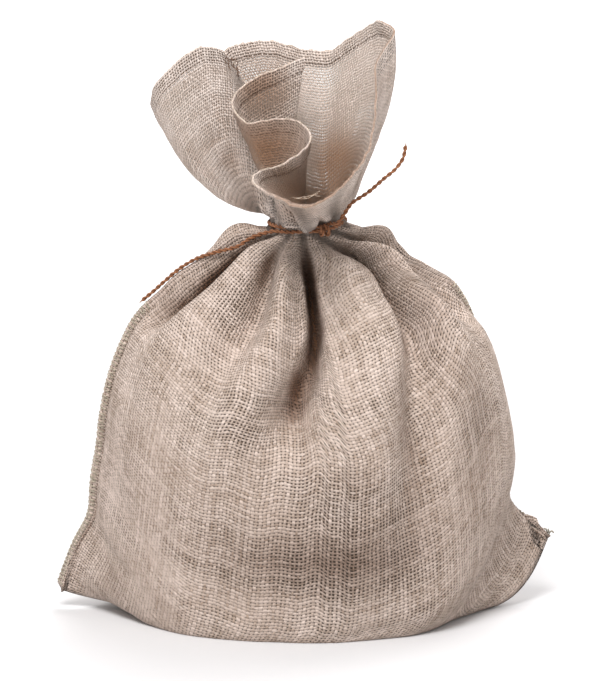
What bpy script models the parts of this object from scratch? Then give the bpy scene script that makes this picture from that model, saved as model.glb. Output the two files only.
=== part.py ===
"""Burlap sack, filled and tied at the neck with a twisted twine.

One cloth is folded at the bottom and seamed up both sides.  Its loose filling
swells the body, the twine gathers the neck, and the free cloth above the tie
opens out into ruffled lobes.  Front is -Y, up is +Z, the floor is z = 0.
"""

import math

import bmesh
import bpy
import numpy as np

MM = 0.001

CLOTH_THICKNESS = 1.8      # woven jute with its hem, mm
THROAT_RADIUS = 6.0        # the hollow's end above the tie, mm
THROAT_RISE = 5.0          # its height above the squeezed band, mm
SEAM_STAND = 2.6           # the overlocked seam stands out this far, mm
BAND_HEIGHT = 6.5          # cloth squeezed under the tie, mm
PUFF = 3.2                 # the cloth springs out this far above the tie, mm
PUFF_HEIGHT = 0.07         # share of the mouth's wall where it is widest
PLEAT_SPRING = 1.2         # the folds grow again by this much above the tie
THROAT_FILL = 2.0          # gathered cloth thickens the throat by this, mm
NECK_SQUEEZE = 0.86        # share of a fold's height lost in the neck
FOLD_SHAPE = 2.5           # over 2 gives a fold a flatter top and steeper sides
FLOOR_BLEND = 1.5          # the base turns flat over this height, mm

TWINE_RADIUS = 1.15        # outer radius of the two-ply twine, mm
TWINE_PITCH = 7.0          # one full twist of the twine, mm
TWINE_STEP = 0.9           # distance between its rings, mm
TWINE_GAP = 0.45           # clearance between twine and cloth, mm
TIE_START = 223            # the lead meets the neck at this angle, degrees
KNOT_AT = 645              # and the knot begins after one turn, degrees
KNOT_WIDE = 20             # spread of the outward bend under the knot, degrees
KNOT_LIFT = 4.1            # outward bend under the knot, mm
KNOT_TURNS = 2             # turns of the knot round the lower strand
KNOT_LOOP = 2.7            # radius of those turns, mm
KNOT_ADVANCE = 3.1         # distance between them, mm
TIE_RISE = 0.3             # the tie sits this far above the band's middle, mm
STRANDS_APART = 1.25       # each strand of the tie above or below its middle, mm

# Sections of the filled body, from the bottom fold (0) to the neck (1), mm.
# left and right are the seams; mid and depth shape the front and back.
SECTIONS = """
rise  left_x right_x left_y right_y left_z right_z mid_y depth mid_z edge flat_l flat_r turn_l turn_r
0.00  -132.5 138     4      24      10     35.5     0     0     -3    1.00 4.0    9.0    0      0
0.10  -124   124     3      22      34     49.5    0     40    -3    0.80 7.0    7.0    0      6
0.20  -113.5 116     0      13      56     63      0     66    -3    0.70 7.0    5.5    0      12
0.26  -112.5 117.5   0      8       72     74      0     71    5     0.65 5.5    6.0    0      18
0.34  -109.5 118.5   0      4       92     90      0     73    26    0.60 4.5    4.5    0      22
0.44  -106   116     0      2       117    112     1     73    57    0.55 3.4    3.4    0      24
0.55  -99    110     0      0       144    138     2     71    93    0.50 2.5    2.5    0      24
0.65  -89    101     0      0       166    160     2     66    124   0.50 2.2    2.2    0      22
0.76  -73    84     0      0       181.5  176.5  2     54    153   0.50 2.0    2.0    2      16
0.87  -51    60     0      0       196.5  193    1     38    182   0.50 2.0    2.0    6      6
0.95  -30    40     0      0       214.5  213    0     24    204   0.50 2.0    2.0    14     -6
1.00  -14    22      0      0       216    221     0     15    216.5 0.50 2.0    2.0    24     -20
"""

# Folds gathered by the tie.  at_100 .. at_40 is the place round the sack (0 is
# the left seam, 0.25 the front, 0.5 the right seam) at that share of the rise,
# foot is the rise where the fold dies out and full where it is fully grown;
# height and width are in mm, and upper is the share of the width left near 0.85.
FOLDS = """
name           at_100 at_93 at_85 at_76 at_68 at_55 at_40 foot full height width upper
seam_hollow    0.035  0.042 0.038 0.032 0.030 0.030 0.030 0.62 0.78 -17    8    0.9
left_crest     0.07   0.082 0.088 0.088 0.086 0.084 0.085 0.45 0.78 9      17   0.9
left_crease    0.12   0.136 0.151 0.149 0.144 0.143 0.143 0.68 0.88 -9     7    1.0
finger         0.160  0.179 0.195 0.180 0.167 0.160 0.155 0.44 0.70 14     11   0.9
deep_valley    0.212  0.238 0.248 0.233 0.213 0.205 0.198 0.56 0.68 -21    9    0.45
front_ridge    0.240  0.320 0.316 0.294 0.277 0.267 0.265 0.25 0.66 12     17   1.0
front_trough   0.305  0.405 0.400 0.372 0.346 0.322 0.311 0.30 0.70 -15    10   0.7
right_ridge    0.360  0.436 0.428 0.408 0.394 0.380 0.375 0.48 0.78 10     9    0.9
right_hollow   0.410  0.476 0.474 0.464 0.454 0.445 0.445 0.64 0.80 -15    9    0.9
right_crest    0.475  0.505 0.515 0.515 0.514 0.512 0.512 0.62 0.80 6      14   1.0
back_trough_a  0.520  0.565 0.570 0.575 0.580 0.590 0.590 0.50 0.78 -12    10   0.7
back_ridge_a   0.570  0.615 0.620 0.625 0.630 0.630 0.630 0.40 0.76 10     13   1.0
back_trough_b  0.620  0.655 0.665 0.670 0.675 0.670 0.670 0.55 0.76 -14    9    0.7
back_ridge_b   0.670  0.700 0.710 0.715 0.720 0.720 0.720 0.30 0.72 12     15   1.0
back_trough_c  0.720  0.745 0.755 0.765 0.775 0.780 0.780 0.45 0.72 -13    10   0.7
back_ridge_c   0.770  0.785 0.800 0.810 0.820 0.820 0.820 0.42 0.74 11     12   1.0
back_trough_d  0.820  0.835 0.845 0.855 0.860 0.860 0.860 0.58 0.78 -14    9    0.7
back_ridge_d   0.870  0.880 0.890 0.900 0.905 0.905 0.905 0.40 0.78 10     13   1.0
back_trough_e  0.920  0.925 0.930 0.935 0.940 0.940 0.940 0.60 0.80 -8     10   0.9
left_shoulder  0.955  0.965 0.975 0.985 0.990 0.990 0.990 0.74 0.86 5      13   1.0
left_hump      0.955  0.955 0.955 0.955 0.960 0.965 0.970 0.89 0.96 5      10   1.0
right_hump     0.500  0.505 0.505 0.505 0.505 0.505 0.505 0.92 0.97 6      11   1.0
"""

# The mouth's edge in the order of the cloth, mm.  A number under place pins it
# round the sack; lift and swell bend the wall below it up and out.
RIM = """
name            place x     y     z     lift swell
left_seam       0.00  -28.6 8     297   0    0
roll_behind     -     -14   17    299   0    0
roll_tip        -     2     15    309   0    0
roll_top        -     -13.8 4     304.7 2    0
roll_left       -     -29.7 -6    299   0    3
roll_turn       -     -37.5 -17   291   -4   5
curl_far_left   -     -29.7 -25   281   -2   4
curl_far        -     -14   -18   282   4    0
curl_far_right  -     0     -15   279   6    0
curl_tip        -     5     -23   272   6    0
curl_near       -     -4.4  -35   264   6    0
curl_near_left  -     -15.4 -43   261   4    0
pocket_left     0.26  -25   -55   259.5 2    2
pocket_front_l  -     -13   -74   250   8    6
pocket_front    -     2     -82   247.5 10   8
pocket_front_r  -     17    -75   252   8    7
pocket_right    -     31    -57   262   5    9
right_seam      0.5   39    -37   274   6    12
cone_front_low  -     42.4  -20   294.7 8    19
cone_front      -     43.5  -5    313.7 10   24
cone_top_front  -     52    3     325   11   27
cone_top_back   -     46    20    328   8    24
back_right      -     30    48    314.6 4    13
back_mid        -     16.5  58    303.6 0    8
back_left       -     0     60    304.2 0    6
back_far_left   -     -16.5 55    309.5 0    6
lobe_back_r     -     -30   46    310.6 -6   5
lobe_back       -     -41   38    308.6 -12  4
lobe_back_l     -     -59   27    298   -14  4
lobe_back_end   -     -75   13    287   -22  9
lobe_tip        -     -82   -2    285.7 -28  13
lobe_front_low  -     -78.7 -14   300   -30  14
lobe_front      -     -66   -16   314   -24  10
lobe_front_top  -     -52.3 -8    320   -14  4
lobe_front_end  -     -41.8 0     315.8 -5   0
"""

# The twine's lead from the left seam up the shoulder to the neck.
LEAD = """
name       rise  place lift
seam_exit  0.690 0.000 1.3
shoulder_a 0.730 0.000 1.3
shoulder_b 0.775 0.000 1.3
shoulder_c 0.820 0.000 1.3
shoulder_d 0.865 0.000 1.3
shoulder_e 0.900 0.003 1.4
shoulder_f 0.930 0.014 2.4
shoulder_g 0.955 0.030 5.2
"""

# The free tail past the knot, mm.
TAIL = """
name     x     y     z
leave    20.5  -25.5 226
rise_a   28.6  -25   237
rise_b   36.9  -24.5 242.6
rise_c   45.7  -23   250
rise_d   52.3  -21.5 255.4
hook     56    -20.5 260.6
end      57.6  -20   267.9
"""

BODY_RISES = [0, .05, .1, .15, .2, .24, .28, .33, .38, .44, .5, .56, .61, .66, .71, .755, .795,
              .83, .865, .895, .92, .945, .965, .985, 1]
MOUTH_RISES = [0, .035, .08, .15, .25, .38, .52, .66, .8, .91, 1]
LINING_RISES = [1, .91, .8, .66, .52, .38, .26]
HALF_COLUMNS = 58          # even columns in the front and in the back


def read_table(text):
    """Columns of a small table, by name."""
    rows = [line.split() for line in text.strip().splitlines()]
    columns = {}
    for index, name in enumerate(rows[0]):
        cells = [row[index] for row in rows[1:]]
        if name == "name":
            columns[name] = cells
        else:
            columns[name] = np.array([math.nan if c == "-" else float(c) for c in cells])
    return columns


def smooth(x, known, values):
    """A smooth curve through known values, one column or several."""
    known, values = np.asarray(known, float), np.asarray(values, float)
    slope = np.gradient(values, known, axis=0)
    i = np.clip(np.searchsorted(known, x, side="right") - 1, 0, len(known) - 2)
    step = known[i + 1] - known[i]
    t = (x - known[i]) / step
    if values.ndim == 2:
        t, step = t[:, None], step[:, None]
    start = (2 * t**3 - 3 * t**2 + 1) * values[i] + (t**3 - 2 * t**2 + t) * step * slope[i]
    end = (3 * t**2 - 2 * t**3) * values[i + 1] + (t**3 - t**2) * step * slope[i + 1]
    return start + end


def smooth_loop(x, known, values):
    """The same for a closed loop, with x and known in 0 to 1."""
    loop = np.concatenate([known - 1, known, known + 1])
    return smooth(np.asarray(x) % 1.0, loop, np.concatenate([values, values, values]))


def ease(x):
    x = np.clip(x, 0, 1)
    return x * x * (3 - 2 * x)


def evenly(points, shares):
    """Points at the given shares of a line's length."""
    steps = np.linalg.norm(np.diff(points, axis=0), axis=1)
    length = np.concatenate([[0], np.cumsum(steps)])
    at = np.asarray(shares) * length[-1]
    return np.stack([np.interp(at, length, points[:, axis]) for axis in range(3)], axis=-1)


def row(table, name_list):
    return np.stack([table[name] for name in name_list], axis=-1)


SECTION = read_table(SECTIONS)
FOLD = read_table(FOLDS)
EDGE = read_table(RIM)


def half_section(g, start, end):
    """One side of a section, between two turns about the sack's axis."""
    turn = np.linspace(start, end, 601)
    c, s = np.cos(turn), np.sin(turn)
    side = (c + 1) / 2
    flat = np.where(c < 0, g["flat_l"], g["flat_r"])
    middle = 1 - np.abs(c) ** flat
    x = g["left_x"] + (g["right_x"] - g["left_x"]) * side
    y = (g["left_y"] + (g["right_y"] - g["left_y"]) * side) * (1 - middle) + g["mid_y"] * middle
    z = (g["left_z"] + (g["right_z"] - g["left_z"]) * side) * (1 - middle) + g["mid_z"] * middle
    y += g["depth"] * np.sign(s) * np.abs(s) ** (2 * g["edge"])
    return np.stack([x, y, z], axis=-1)


def section_ring(rise, places):
    """Points round the sack at one rise, before its folds."""
    known = SECTION["rise"]
    at = np.array([rise])
    g = {n: float(smooth(at, known, SECTION[n])[0]) for n in SECTION if n != "rise"}
    left = math.pi + math.radians(g["turn_l"])
    right = 2 * math.pi + math.radians(g["turn_r"])
    points = np.zeros((len(places), 3))
    front = places < 0.5
    points[front] = evenly(half_section(g, left, right), places[front] * 2)
    back = half_section(g, right, left + 2 * math.pi)
    points[~front] = evenly(back, places[~front] * 2 - 1)
    return points


def outward(grid):
    """Unit normals of a grid that runs up in rows and round in columns."""
    round_it = np.roll(grid, -1, axis=1) - np.roll(grid, 1, axis=1)
    up = np.gradient(grid, axis=0)
    normal = np.cross(round_it, up)
    return normal / (np.linalg.norm(normal, axis=-1, keepdims=True) + 1e-9)


def seam_ridge(places):
    """1 on the two side seams, falling to 0 beside them."""
    away = np.minimum(np.abs(places), np.minimum(np.abs(places - 0.5), np.abs(places - 1)))
    return np.clip(1 - away / 0.005, 0, 1)


def fold_heights(rises, girth, places):
    """How far the cloth stands out or in at each point of the body, mm."""
    stations = np.array([0.40, 0.55, 0.68, 0.76, 0.85, 0.93, 1.0])
    names = ["at_40", "at_55", "at_68", "at_76", "at_85", "at_93", "at_100"]
    paths = row(FOLD, names)
    squeeze = 1 - NECK_SQUEEZE * ease((rises - 0.91) / 0.08)
    total = np.zeros((len(rises), len(places)))
    for index, path in enumerate(paths):
        centre = smooth(np.clip(rises, 0.40, 1), stations, path)
        away = (places[None, :] - centre[:, None] + 0.5) % 1 - 0.5
        upper = ease((rises - 0.66) / 0.18) * (1 - ease((rises - 0.9) / 0.08))
        narrowing = 1 - (1 - FOLD["upper"][index]) * upper
        width = FOLD["width"][index] * narrowing * np.clip(girth / 430, 0.2, 1.4)
        foot, full = FOLD["foot"][index], FOLD["full"][index]
        grown = FOLD["height"][index] * ease((rises - foot) / (full - foot)) * squeeze
        spread = np.abs(away * girth[:, None] / width[:, None])
        total += grown[:, None] * np.exp(-(spread ** FOLD_SHAPE))
    return total


def body_surface(rises, places):
    """The filled body with its gathered folds and a flat base."""
    rises = np.asarray(rises, float)
    plain = np.stack([section_ring(rise, places) for rise in rises])
    girth = np.linalg.norm(np.roll(plain, -1, axis=1) - plain, axis=2).sum(axis=1)
    height = fold_heights(rises, girth, places)
    fade = 1 - ease((rises - 0.9) / 0.08)
    height += SEAM_STAND * seam_ridge(places)[None, :] * fade[:, None]
    level = 1 - ease((rises - 0.93) / 0.07)
    facing = outward(plain)
    facing[..., 2] *= level[:, None]
    facing /= np.linalg.norm(facing, axis=-1, keepdims=True)
    folded = plain + facing * height[..., None]
    z = folded[..., 2]
    blend = (z + FLOOR_BLEND) ** 2 / (4 * FLOOR_BLEND)
    folded[..., 2] = np.where(z > FLOOR_BLEND, z, np.where(z < -FLOOR_BLEND, 0, blend))
    return folded, plain[-1]


def rim_places():
    """Place round the sack of each rim point, shared out by length between pinned ones."""
    points = row(EDGE, ["x", "y", "z"])
    steps = np.linalg.norm(np.roll(points, -1, axis=0) - points, axis=1)
    length = np.concatenate([[0], np.cumsum(steps)])
    pinned = np.flatnonzero(~np.isnan(EDGE["place"]))
    known = np.append(length[pinned], length[-1])
    return np.interp(length[:-1], known, np.append(EDGE["place"][pinned], 1.0))


def throat_ring(plain_neck):
    """The hollow's end above the tie, and the level direction out from its middle."""
    centre = plain_neck.mean(axis=0)
    out = (plain_neck - centre) * [1, 1, 0]
    out /= np.linalg.norm(out, axis=1, keepdims=True)
    ring = centre * [1, 1, 0] + plain_neck * [0, 0, 1] + out * THROAT_RADIUS
    return ring + [0, 0, BAND_HEIGHT + THROAT_RISE], out


def mouth_surface(rises, places, neck, plain_neck):
    """The free cloth above the tie, from the squeezed band to its edge."""
    at = rim_places()
    rim = smooth_loop(places, at, row(EDGE, ["x", "y", "z"]))
    lift = smooth_loop(places, at, EDGE["lift"])[:, None]
    swell = smooth_loop(places, at, EDGE["swell"])[:, None]
    start = plain_neck + [0, 0, BAND_HEIGHT]
    reach = (rim - start) * [1, 1, 0]
    away = reach / (np.linalg.norm(reach, axis=1, keepdims=True) + 5)
    middle = start + 0.45 * (rim - start) + lift * [0, 0, 1] + swell * away
    throat, spring = throat_ring(plain_neck)
    pleat = neck - plain_neck
    from_seam = np.minimum(places, 1 - places)[:, None]
    fade = 1.7 + 6 * (1 - ease(from_seam / 0.16))
    rows = []
    for t in rises:
        wall = (1 - t) ** 2 * start + 2 * t * (1 - t) * middle + t * t * rim
        puff = PUFF * t / PUFF_HEIGHT * math.exp(1 - t / PUFF_HEIGHT)
        grown = (1 + PLEAT_SPRING * ease(t / PUFF_HEIGHT)) * (1 - t) ** fade
        rows.append(wall + puff * spring + grown * pleat)
    return np.stack(rows)


def tie_strand(angles, levels):
    """Points on the tie's strand at given angles, degrees, and heights from its middle."""
    places = np.linspace(0, 1, 240, endpoint=False)
    body, plain_neck = body_surface([0.97, 0.985, 1.0], places)
    band = mouth_surface([0], places, body[-1], plain_neck)
    centre = plain_neck.mean(axis=0) + [0, 0, BAND_HEIGHT / 2]
    cloth = np.concatenate([body[-1], *band])[:, :2] - centre[:2]
    turn = np.radians(np.arange(0, 360, 3))
    facing = np.stack([np.cos(turn), np.sin(turn)], axis=-1)
    hull = (cloth @ facing.T).max(axis=0) + TWINE_RADIUS + TWINE_GAP
    waves = np.fft.rfft(hull)
    waves[6:] = 0
    rounded = np.fft.irfft(waves, len(hull))
    hull = rounded + (hull - rounded).max()
    slope = (np.roll(hull, -1) - np.roll(hull, 1)) / (2 * math.radians(3))
    flat = hull[:, None] * facing + slope[:, None] * np.stack([-facing[:, 1], facing[:, 0]], -1)
    bend = (np.asarray(angles, float) - KNOT_AT - 8 + 180) % 360 - 180
    share = (np.asarray(angles) / 360) % 1.0
    line = smooth_loop(share, np.arange(0, 360, 3) / 360, flat)
    out = line / np.linalg.norm(line, axis=1, keepdims=True)
    line = line + out * (KNOT_LIFT * np.exp(-((bend / KNOT_WIDE) ** 2)))[:, None]
    tilt = np.polyfit(plain_neck[:, 0], plain_neck[:, 2], 1)[0]
    height = centre[2] + TIE_RISE + tilt * line[:, 0] + np.asarray(levels)
    return np.column_stack([line + centre[:2], height]), np.column_stack([out, 0 * height])


def twine_line():
    """The whole twine in order: lead, one turn and a part, knot, free tail."""
    lead, tail = read_table(LEAD), read_table(TAIL)
    grid_rises = np.concatenate([lead["rise"], [1.0]])
    places = np.unique(np.concatenate([lead["place"], np.linspace(0.06, 0.99, 60)]))
    body, _ = body_surface(grid_rises, places)
    facing = outward(body)
    pick = [int(np.argmin(np.abs(places - place))) for place in lead["place"]]
    start = [body[i, j] + facing[i, j] * (TWINE_RADIUS + lift)
             for i, (j, lift) in enumerate(zip(pick, lead["lift"]))]
    angles = np.arange(TIE_START, KNOT_AT, 6)
    climb = ease((angles - TIE_START - 130) / 200)
    wrap, _ = tie_strand(angles, STRANDS_APART * (2 * climb - 1))
    steps = np.arange(1, KNOT_TURNS * 12 + 1) / 12
    past = np.arange(KNOT_AT, KNOT_AT + 50, 2)
    under, out = tie_strand(past, np.full(len(past), -STRANDS_APART))
    reach = np.linalg.norm(np.diff(under, axis=0), axis=1).sum()
    core = evenly(under, KNOT_ADVANCE * steps / reach)
    out = out[np.clip(np.searchsorted(past, KNOT_AT + 9 * steps), 0, len(past) - 1)]
    swing = math.pi / 2 - 2 * math.pi * steps
    loops = core + KNOT_LOOP * (np.cos(swing)[:, None] * out + np.sin(swing)[:, None] * [0, 0, 1])
    points = np.concatenate([start, wrap, loops[:-1], row(tail, ["x", "y", "z"])])
    steps = np.linalg.norm(np.diff(points, axis=0), axis=1)
    length = np.concatenate([[0], np.cumsum(steps)])
    count = int(length[-1] / TWINE_STEP)
    return smooth(np.linspace(0, length[-1], count + 1), length, points)


def twine_curve(points):
    """A two-lobed section swept along the line, turned to lay the two plies."""
    section = bpy.data.curves.new("twine_section", "CURVE")
    outline = section.splines.new("POLY")
    outline.points.add(7)
    outline.use_cyclic_u = True
    for index, point in enumerate(outline.points):
        turn = -2 * math.pi * index / 8
        reach = TWINE_RADIUS * (0.74 + 0.26 * math.cos(2 * turn)) * MM
        point.co = (reach * math.cos(turn), reach * math.sin(turn), 0, 1)
    guide = bpy.data.objects.new("twine_section", section)
    curve = bpy.data.curves.new("twine", "CURVE")
    curve.dimensions = "3D"
    curve.bevel_mode = "OBJECT"
    curve.bevel_object = guide
    curve.use_fill_caps = True
    spline = curve.splines.new("POLY")
    spline.points.add(len(points) - 1)
    for index, (point, spot) in enumerate(zip(spline.points, points)):
        point.co = (*(spot * MM), 1)
        point.tilt = 2 * math.pi * index * TWINE_STEP / TWINE_PITCH
    return curve, guide


def columns():
    """Places round the sack, with extra columns to shape the two seams."""
    even = np.linspace(0.024, 0.476, HALF_COLUMNS)
    front = np.concatenate([[0, 0.005, 0.014], even, [0.486, 0.495, 0.5]])
    return np.concatenate([front, 1 - front[-2:0:-1]])


def new_material(name, colour, roughness):
    material = bpy.data.materials.new(name)
    material.use_nodes = True
    shader = material.node_tree.nodes["Principled BSDF"]
    shader.inputs["Base Color"].default_value = (*colour, 1)
    shader.inputs["Roughness"].default_value = roughness
    shader.inputs["Metallic"].default_value = 0
    return material


def add_object(collection, name, data, material):
    data.materials.append(material)
    thing = bpy.data.objects.new(name, data)
    collection.objects.link(thing)
    return thing


def sack_mesh(places):
    """The filled body, the squeezed neck and the open mouth as one closed solid."""
    body, plain_neck = body_surface(BODY_RISES, places)
    neck = body[-1]
    mouth = mouth_surface(MOUTH_RISES, places, neck, plain_neck)
    even = np.linspace(0, 1, 101)
    inside = mouth_surface(even, places, neck, plain_neck)
    depth = CLOTH_THICKNESS + THROAT_FILL * (1 - even) ** 4
    inside -= outward(inside) * depth[:, None, None]
    lining = inside[[int(round(t * 100)) for t in LINING_RISES]]
    throat, spring = throat_ring(plain_neck)
    mesh = bmesh.new()
    count = len(places)

    def ring(points):
        return [mesh.verts.new(point * MM) for point in points]

    fold = ring(body[0][: count // 2 + 1])
    rings = [fold + fold[-2:0:-1]]
    rings += [ring(points) for points in (*body[1:], *mouth, *lining, throat)]
    for lower, upper in zip(rings, rings[1:]):
        for i in range(count):
            k = (i + 1) % count
            corners = [lower[i], lower[k], upper[k], upper[i]]
            mesh.faces.new([c for n, c in enumerate(corners) if c not in corners[:n]])
    floor = mesh.verts.new((throat.mean(axis=0) - [0, 0, 1.0]) * MM)
    for i in range(count):
        mesh.faces.new([rings[-1][i], rings[-1][(i + 1) % count], floor])
    data = bpy.data.meshes.new("cloth")
    mesh.to_mesh(data)
    mesh.free()
    data.shade_smooth()
    return data


def build():
    for thing in list(bpy.data.objects):
        bpy.data.objects.remove(thing)
    sack = bpy.data.collections.new("burlap_sack")
    bpy.context.scene.collection.children.link(sack)
    burlap = new_material("burlap", (0.47, 0.37, 0.28), 0.95)
    jute = new_material("twine_jute", (0.36, 0.17, 0.08), 0.85)
    add_object(sack, "sack_cloth", sack_mesh(columns()), burlap)
    guides = bpy.data.collections.new("guides")
    bpy.context.scene.collection.children.link(guides)
    curve, guide = twine_curve(twine_line())
    guides.objects.link(guide)
    guide.hide_render = True
    guide.display_type = "WIRE"
    add_object(sack, "tie_twine", curve, jute)


build()
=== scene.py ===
# %% [markdown]
# A small burlap sack stands filled on the floor, its neck tied with a twisted
# jute twine and its mouth opening above the tie like a ruffled collar.  The
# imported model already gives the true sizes, so this lesson only dresses it:
# thin woven cloth, sewn seams, hairy twine and loose threads.

# %% Load the frame
import math

import bpy
import numpy as np
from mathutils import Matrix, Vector, bvhtree, noise


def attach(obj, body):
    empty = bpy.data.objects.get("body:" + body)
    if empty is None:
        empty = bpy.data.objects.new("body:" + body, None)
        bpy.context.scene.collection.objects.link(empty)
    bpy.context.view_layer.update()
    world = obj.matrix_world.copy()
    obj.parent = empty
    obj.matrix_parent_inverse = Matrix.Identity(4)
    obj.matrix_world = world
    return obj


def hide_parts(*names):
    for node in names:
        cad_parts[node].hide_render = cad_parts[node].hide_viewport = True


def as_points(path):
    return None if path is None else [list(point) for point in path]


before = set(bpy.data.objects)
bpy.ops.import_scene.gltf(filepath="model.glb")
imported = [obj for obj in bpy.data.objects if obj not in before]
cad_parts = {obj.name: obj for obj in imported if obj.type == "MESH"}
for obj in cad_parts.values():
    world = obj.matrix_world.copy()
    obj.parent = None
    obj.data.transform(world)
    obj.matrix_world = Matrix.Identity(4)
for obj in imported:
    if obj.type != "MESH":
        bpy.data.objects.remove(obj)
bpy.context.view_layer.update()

MM = 0.001

# %% [markdown]
# The camera comes first, so every later step can be looked at in the same view.
# A long lens far away keeps the sack's upright lines nearly parallel.  It looks
# down by 14 degrees, which shows a little of the floor and into the mouth.

# %% Camera
PICTURE_HEIGHT = 0.3746          # metres of the object's plane in the picture
CAMERA_FAR = 5.0
CAMERA_TILT = math.radians(14)
LOOKED_AT = Vector((0, 0, 0.1534))


def place_it(name, data, location, way):
    """A new object at a place, looking one way."""
    thing = bpy.data.objects.new(name, data)
    bpy.context.scene.collection.objects.link(thing)
    thing.location = location
    thing.rotation_mode = "QUATERNION"
    thing.rotation_quaternion = way.to_track_quat("-Z", "Y")
    return thing


def add_camera():
    lens = bpy.data.cameras.new("camera")
    lens.sensor_width = 36.0
    lens.lens = lens.sensor_width * CAMERA_FAR / PICTURE_HEIGHT
    lens.clip_start, lens.clip_end = 0.1, 60.0
    back = Vector((0, -math.cos(CAMERA_TILT), math.sin(CAMERA_TILT)))
    bpy.context.scene.camera = place_it("camera", lens, LOOKED_AT + back * CAMERA_FAR, -back)
    print("camera lens mm", round(lens.lens, 1))


add_camera()

# %% [markdown]
# Curves through a few named numbers shape everything here, as a pattern maker
# would give a section every few centimetres.  These helpers read the small
# tables and run smooth lines through them, open or closed.

# %% Tables and smooth curves
def read_table(text):
    """Columns of a small table, by name."""
    rows = [line.split() for line in text.strip().splitlines()]
    columns = {}
    for index, name in enumerate(rows[0]):
        cells = [row[index] for row in rows[1:]]
        if name == "name":
            columns[name] = cells
        else:
            columns[name] = np.array([math.nan if c == "-" else float(c) for c in cells])
    return columns


def smooth(x, known, values):
    """A smooth curve through known values, one column or several."""
    known, values = np.asarray(known, float), np.asarray(values, float)
    slope = np.gradient(values, known, axis=0)
    i = np.clip(np.searchsorted(known, x, side="right") - 1, 0, len(known) - 2)
    step = known[i + 1] - known[i]
    t = (x - known[i]) / step
    if values.ndim == 2:
        t, step = t[:, None], step[:, None]
    start = (2 * t**3 - 3 * t**2 + 1) * values[i] + (t**3 - 2 * t**2 + t) * step * slope[i]
    end = (3 * t**2 - 2 * t**3) * values[i + 1] + (t**3 - t**2) * step * slope[i + 1]
    return start + end


def smooth_loop(x, known, values):
    """The same for a closed loop, with x and known in 0 to 1."""
    loop = np.concatenate([known - 1, known, known + 1])
    return smooth(np.asarray(x) % 1.0, loop, np.concatenate([values, values, values]))


def ease(x):
    x = np.clip(x, 0, 1)
    return x * x * (3 - 2 * x)


def noise_over(points, scale, shift=(0, 0, 0)):
    """Smooth noise at each of many points, from -1 to 1."""
    where = (points * np.array(scale) + shift).reshape(-1, 3)
    return np.reshape([noise.noise(Vector(place)) for place in where], points.shape[:-1])


def lengths_along(points):
    """Length from the start to each point, of one line or up each column of a grid."""
    steps = np.linalg.norm(np.diff(points, axis=0), axis=-1)
    return np.concatenate([np.zeros_like(steps[:1]), np.cumsum(steps, axis=0)])


def at_length(length, line, where):
    """Points of a line where it has run a given length."""
    return np.stack([np.interp(where, length, line[:, axis]) for axis in range(3)], axis=-1)


def evenly(points, shares):
    """Points at the given shares of a line's length."""
    length = lengths_along(points)
    return at_length(length, points, np.asarray(shares) * length[-1])


def unit(vectors):
    return vectors / np.linalg.norm(vectors, axis=-1, keepdims=True)


def row(table, name_list):
    return np.stack([table[name] for name in name_list], axis=-1)

# %% [markdown]
# The real sack is one length of sacking folded at the bottom and sewn up both
# sides, so every point on it has a place: how far round it lies, from 0 at the
# left seam through 0.25 at the front, and how high, its rise.  The tables are
# the pattern of the filled shape: sections of the body, the folds that the tie
# gathers, and the wavy edge of the mouth, the same as in the part's own source,
# so the cloth lies on the solid.

# %% Sizes of the cloth and the tie
BAND_HEIGHT = 6.5                # cloth squeezed under the tie, mm
PUFF = 3.2                       # the cloth springs out this far above the tie, mm
PUFF_HEIGHT = 0.07               # share of the mouth's wall where it is widest
PLEAT_SPRING = 1.2               # the folds grow again by this much above the tie
THROAT_FILL = 2.0                # gathered cloth thickens the throat by this, mm
NECK_SQUEEZE = 0.86              # share of a fold's height lost in the neck
FOLD_SHAPE = 2.5                 # over 2 gives a fold a flatter top and steeper sides
FLOOR_BLEND = 1.5                # the base turns flat over this height, mm
SEAM_STAND = 2.6                 # the plain solid's seam ridge, mm
TWINE_RADIUS = 1.15              # outer radius of the two-ply twine, mm
TWINE_PITCH = 7.0                # one full twist of the twine, mm
TWINE_STEP = 0.9                 # distance between its points, mm
TWINE_GAP = 0.45                 # clearance between twine and cloth, mm
TIE_START = 223                  # the lead meets the neck at this angle, degrees
KNOT_AT = 645                    # and the knot begins after one turn, degrees
KNOT_WIDE = 20                   # spread of the outward bend under the knot
KNOT_LIFT = 4.1                  # outward bend under the knot, mm
KNOT_TURNS = 2                   # turns of the knot round the lower strand
KNOT_LOOP = 2.7                  # radius of those turns, mm
KNOT_ADVANCE = 3.1               # distance between them, mm
TIE_RISE = 0.3                   # the tie sits this far above the band's middle
STRANDS_APART = 1.25             # each strand of the tie above or below its middle

# %% Sections of the filled body, from the bottom fold to the neck, mm
SECTIONS = """
rise left_x right_x left_y right_y left_z right_z mid_y depth mid_z edge flat_l flat_r turn_l turn_r
0    -132.5 138     4      24      10     35.5    0     0     -3    1    4      9      0      0
.1   -124   124     3      22      34     49.5    0     40    -3    .8   7      7      0      6
.2   -113.5 116     0      13      56     63      0     66    -3    .7   7      5.5    0      12
.26  -112.5 117.5   0      8       72     74      0     71    5     .65  5.5    6      0      18
.34  -109.5 118.5   0      4       92     90      0     73    26    .6   4.5    4.5    0      22
.44  -106   116     0      2       117    112     1     73    57    .55  3.4    3.4    0      24
.55  -99    110     0      0       144    138     2     71    93    .5   2.5    2.5    0      24
.65  -89    101     0      0       166    160     2     66    124   .5   2.2    2.2    0      22
.76  -73    84      0      0       181.5  176.5   2     54    153   .5   2      2      2      16
.87  -51    60      0      0       196.5  193     1     38    182   .5   2      2      6      6
.95  -30    40      0      0       214.5  213     0     24    204   .5   2      2      14     -6
1    -14    22      0      0       216    221     0     15    216.5 .5   2      2      24     -20
"""

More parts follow.
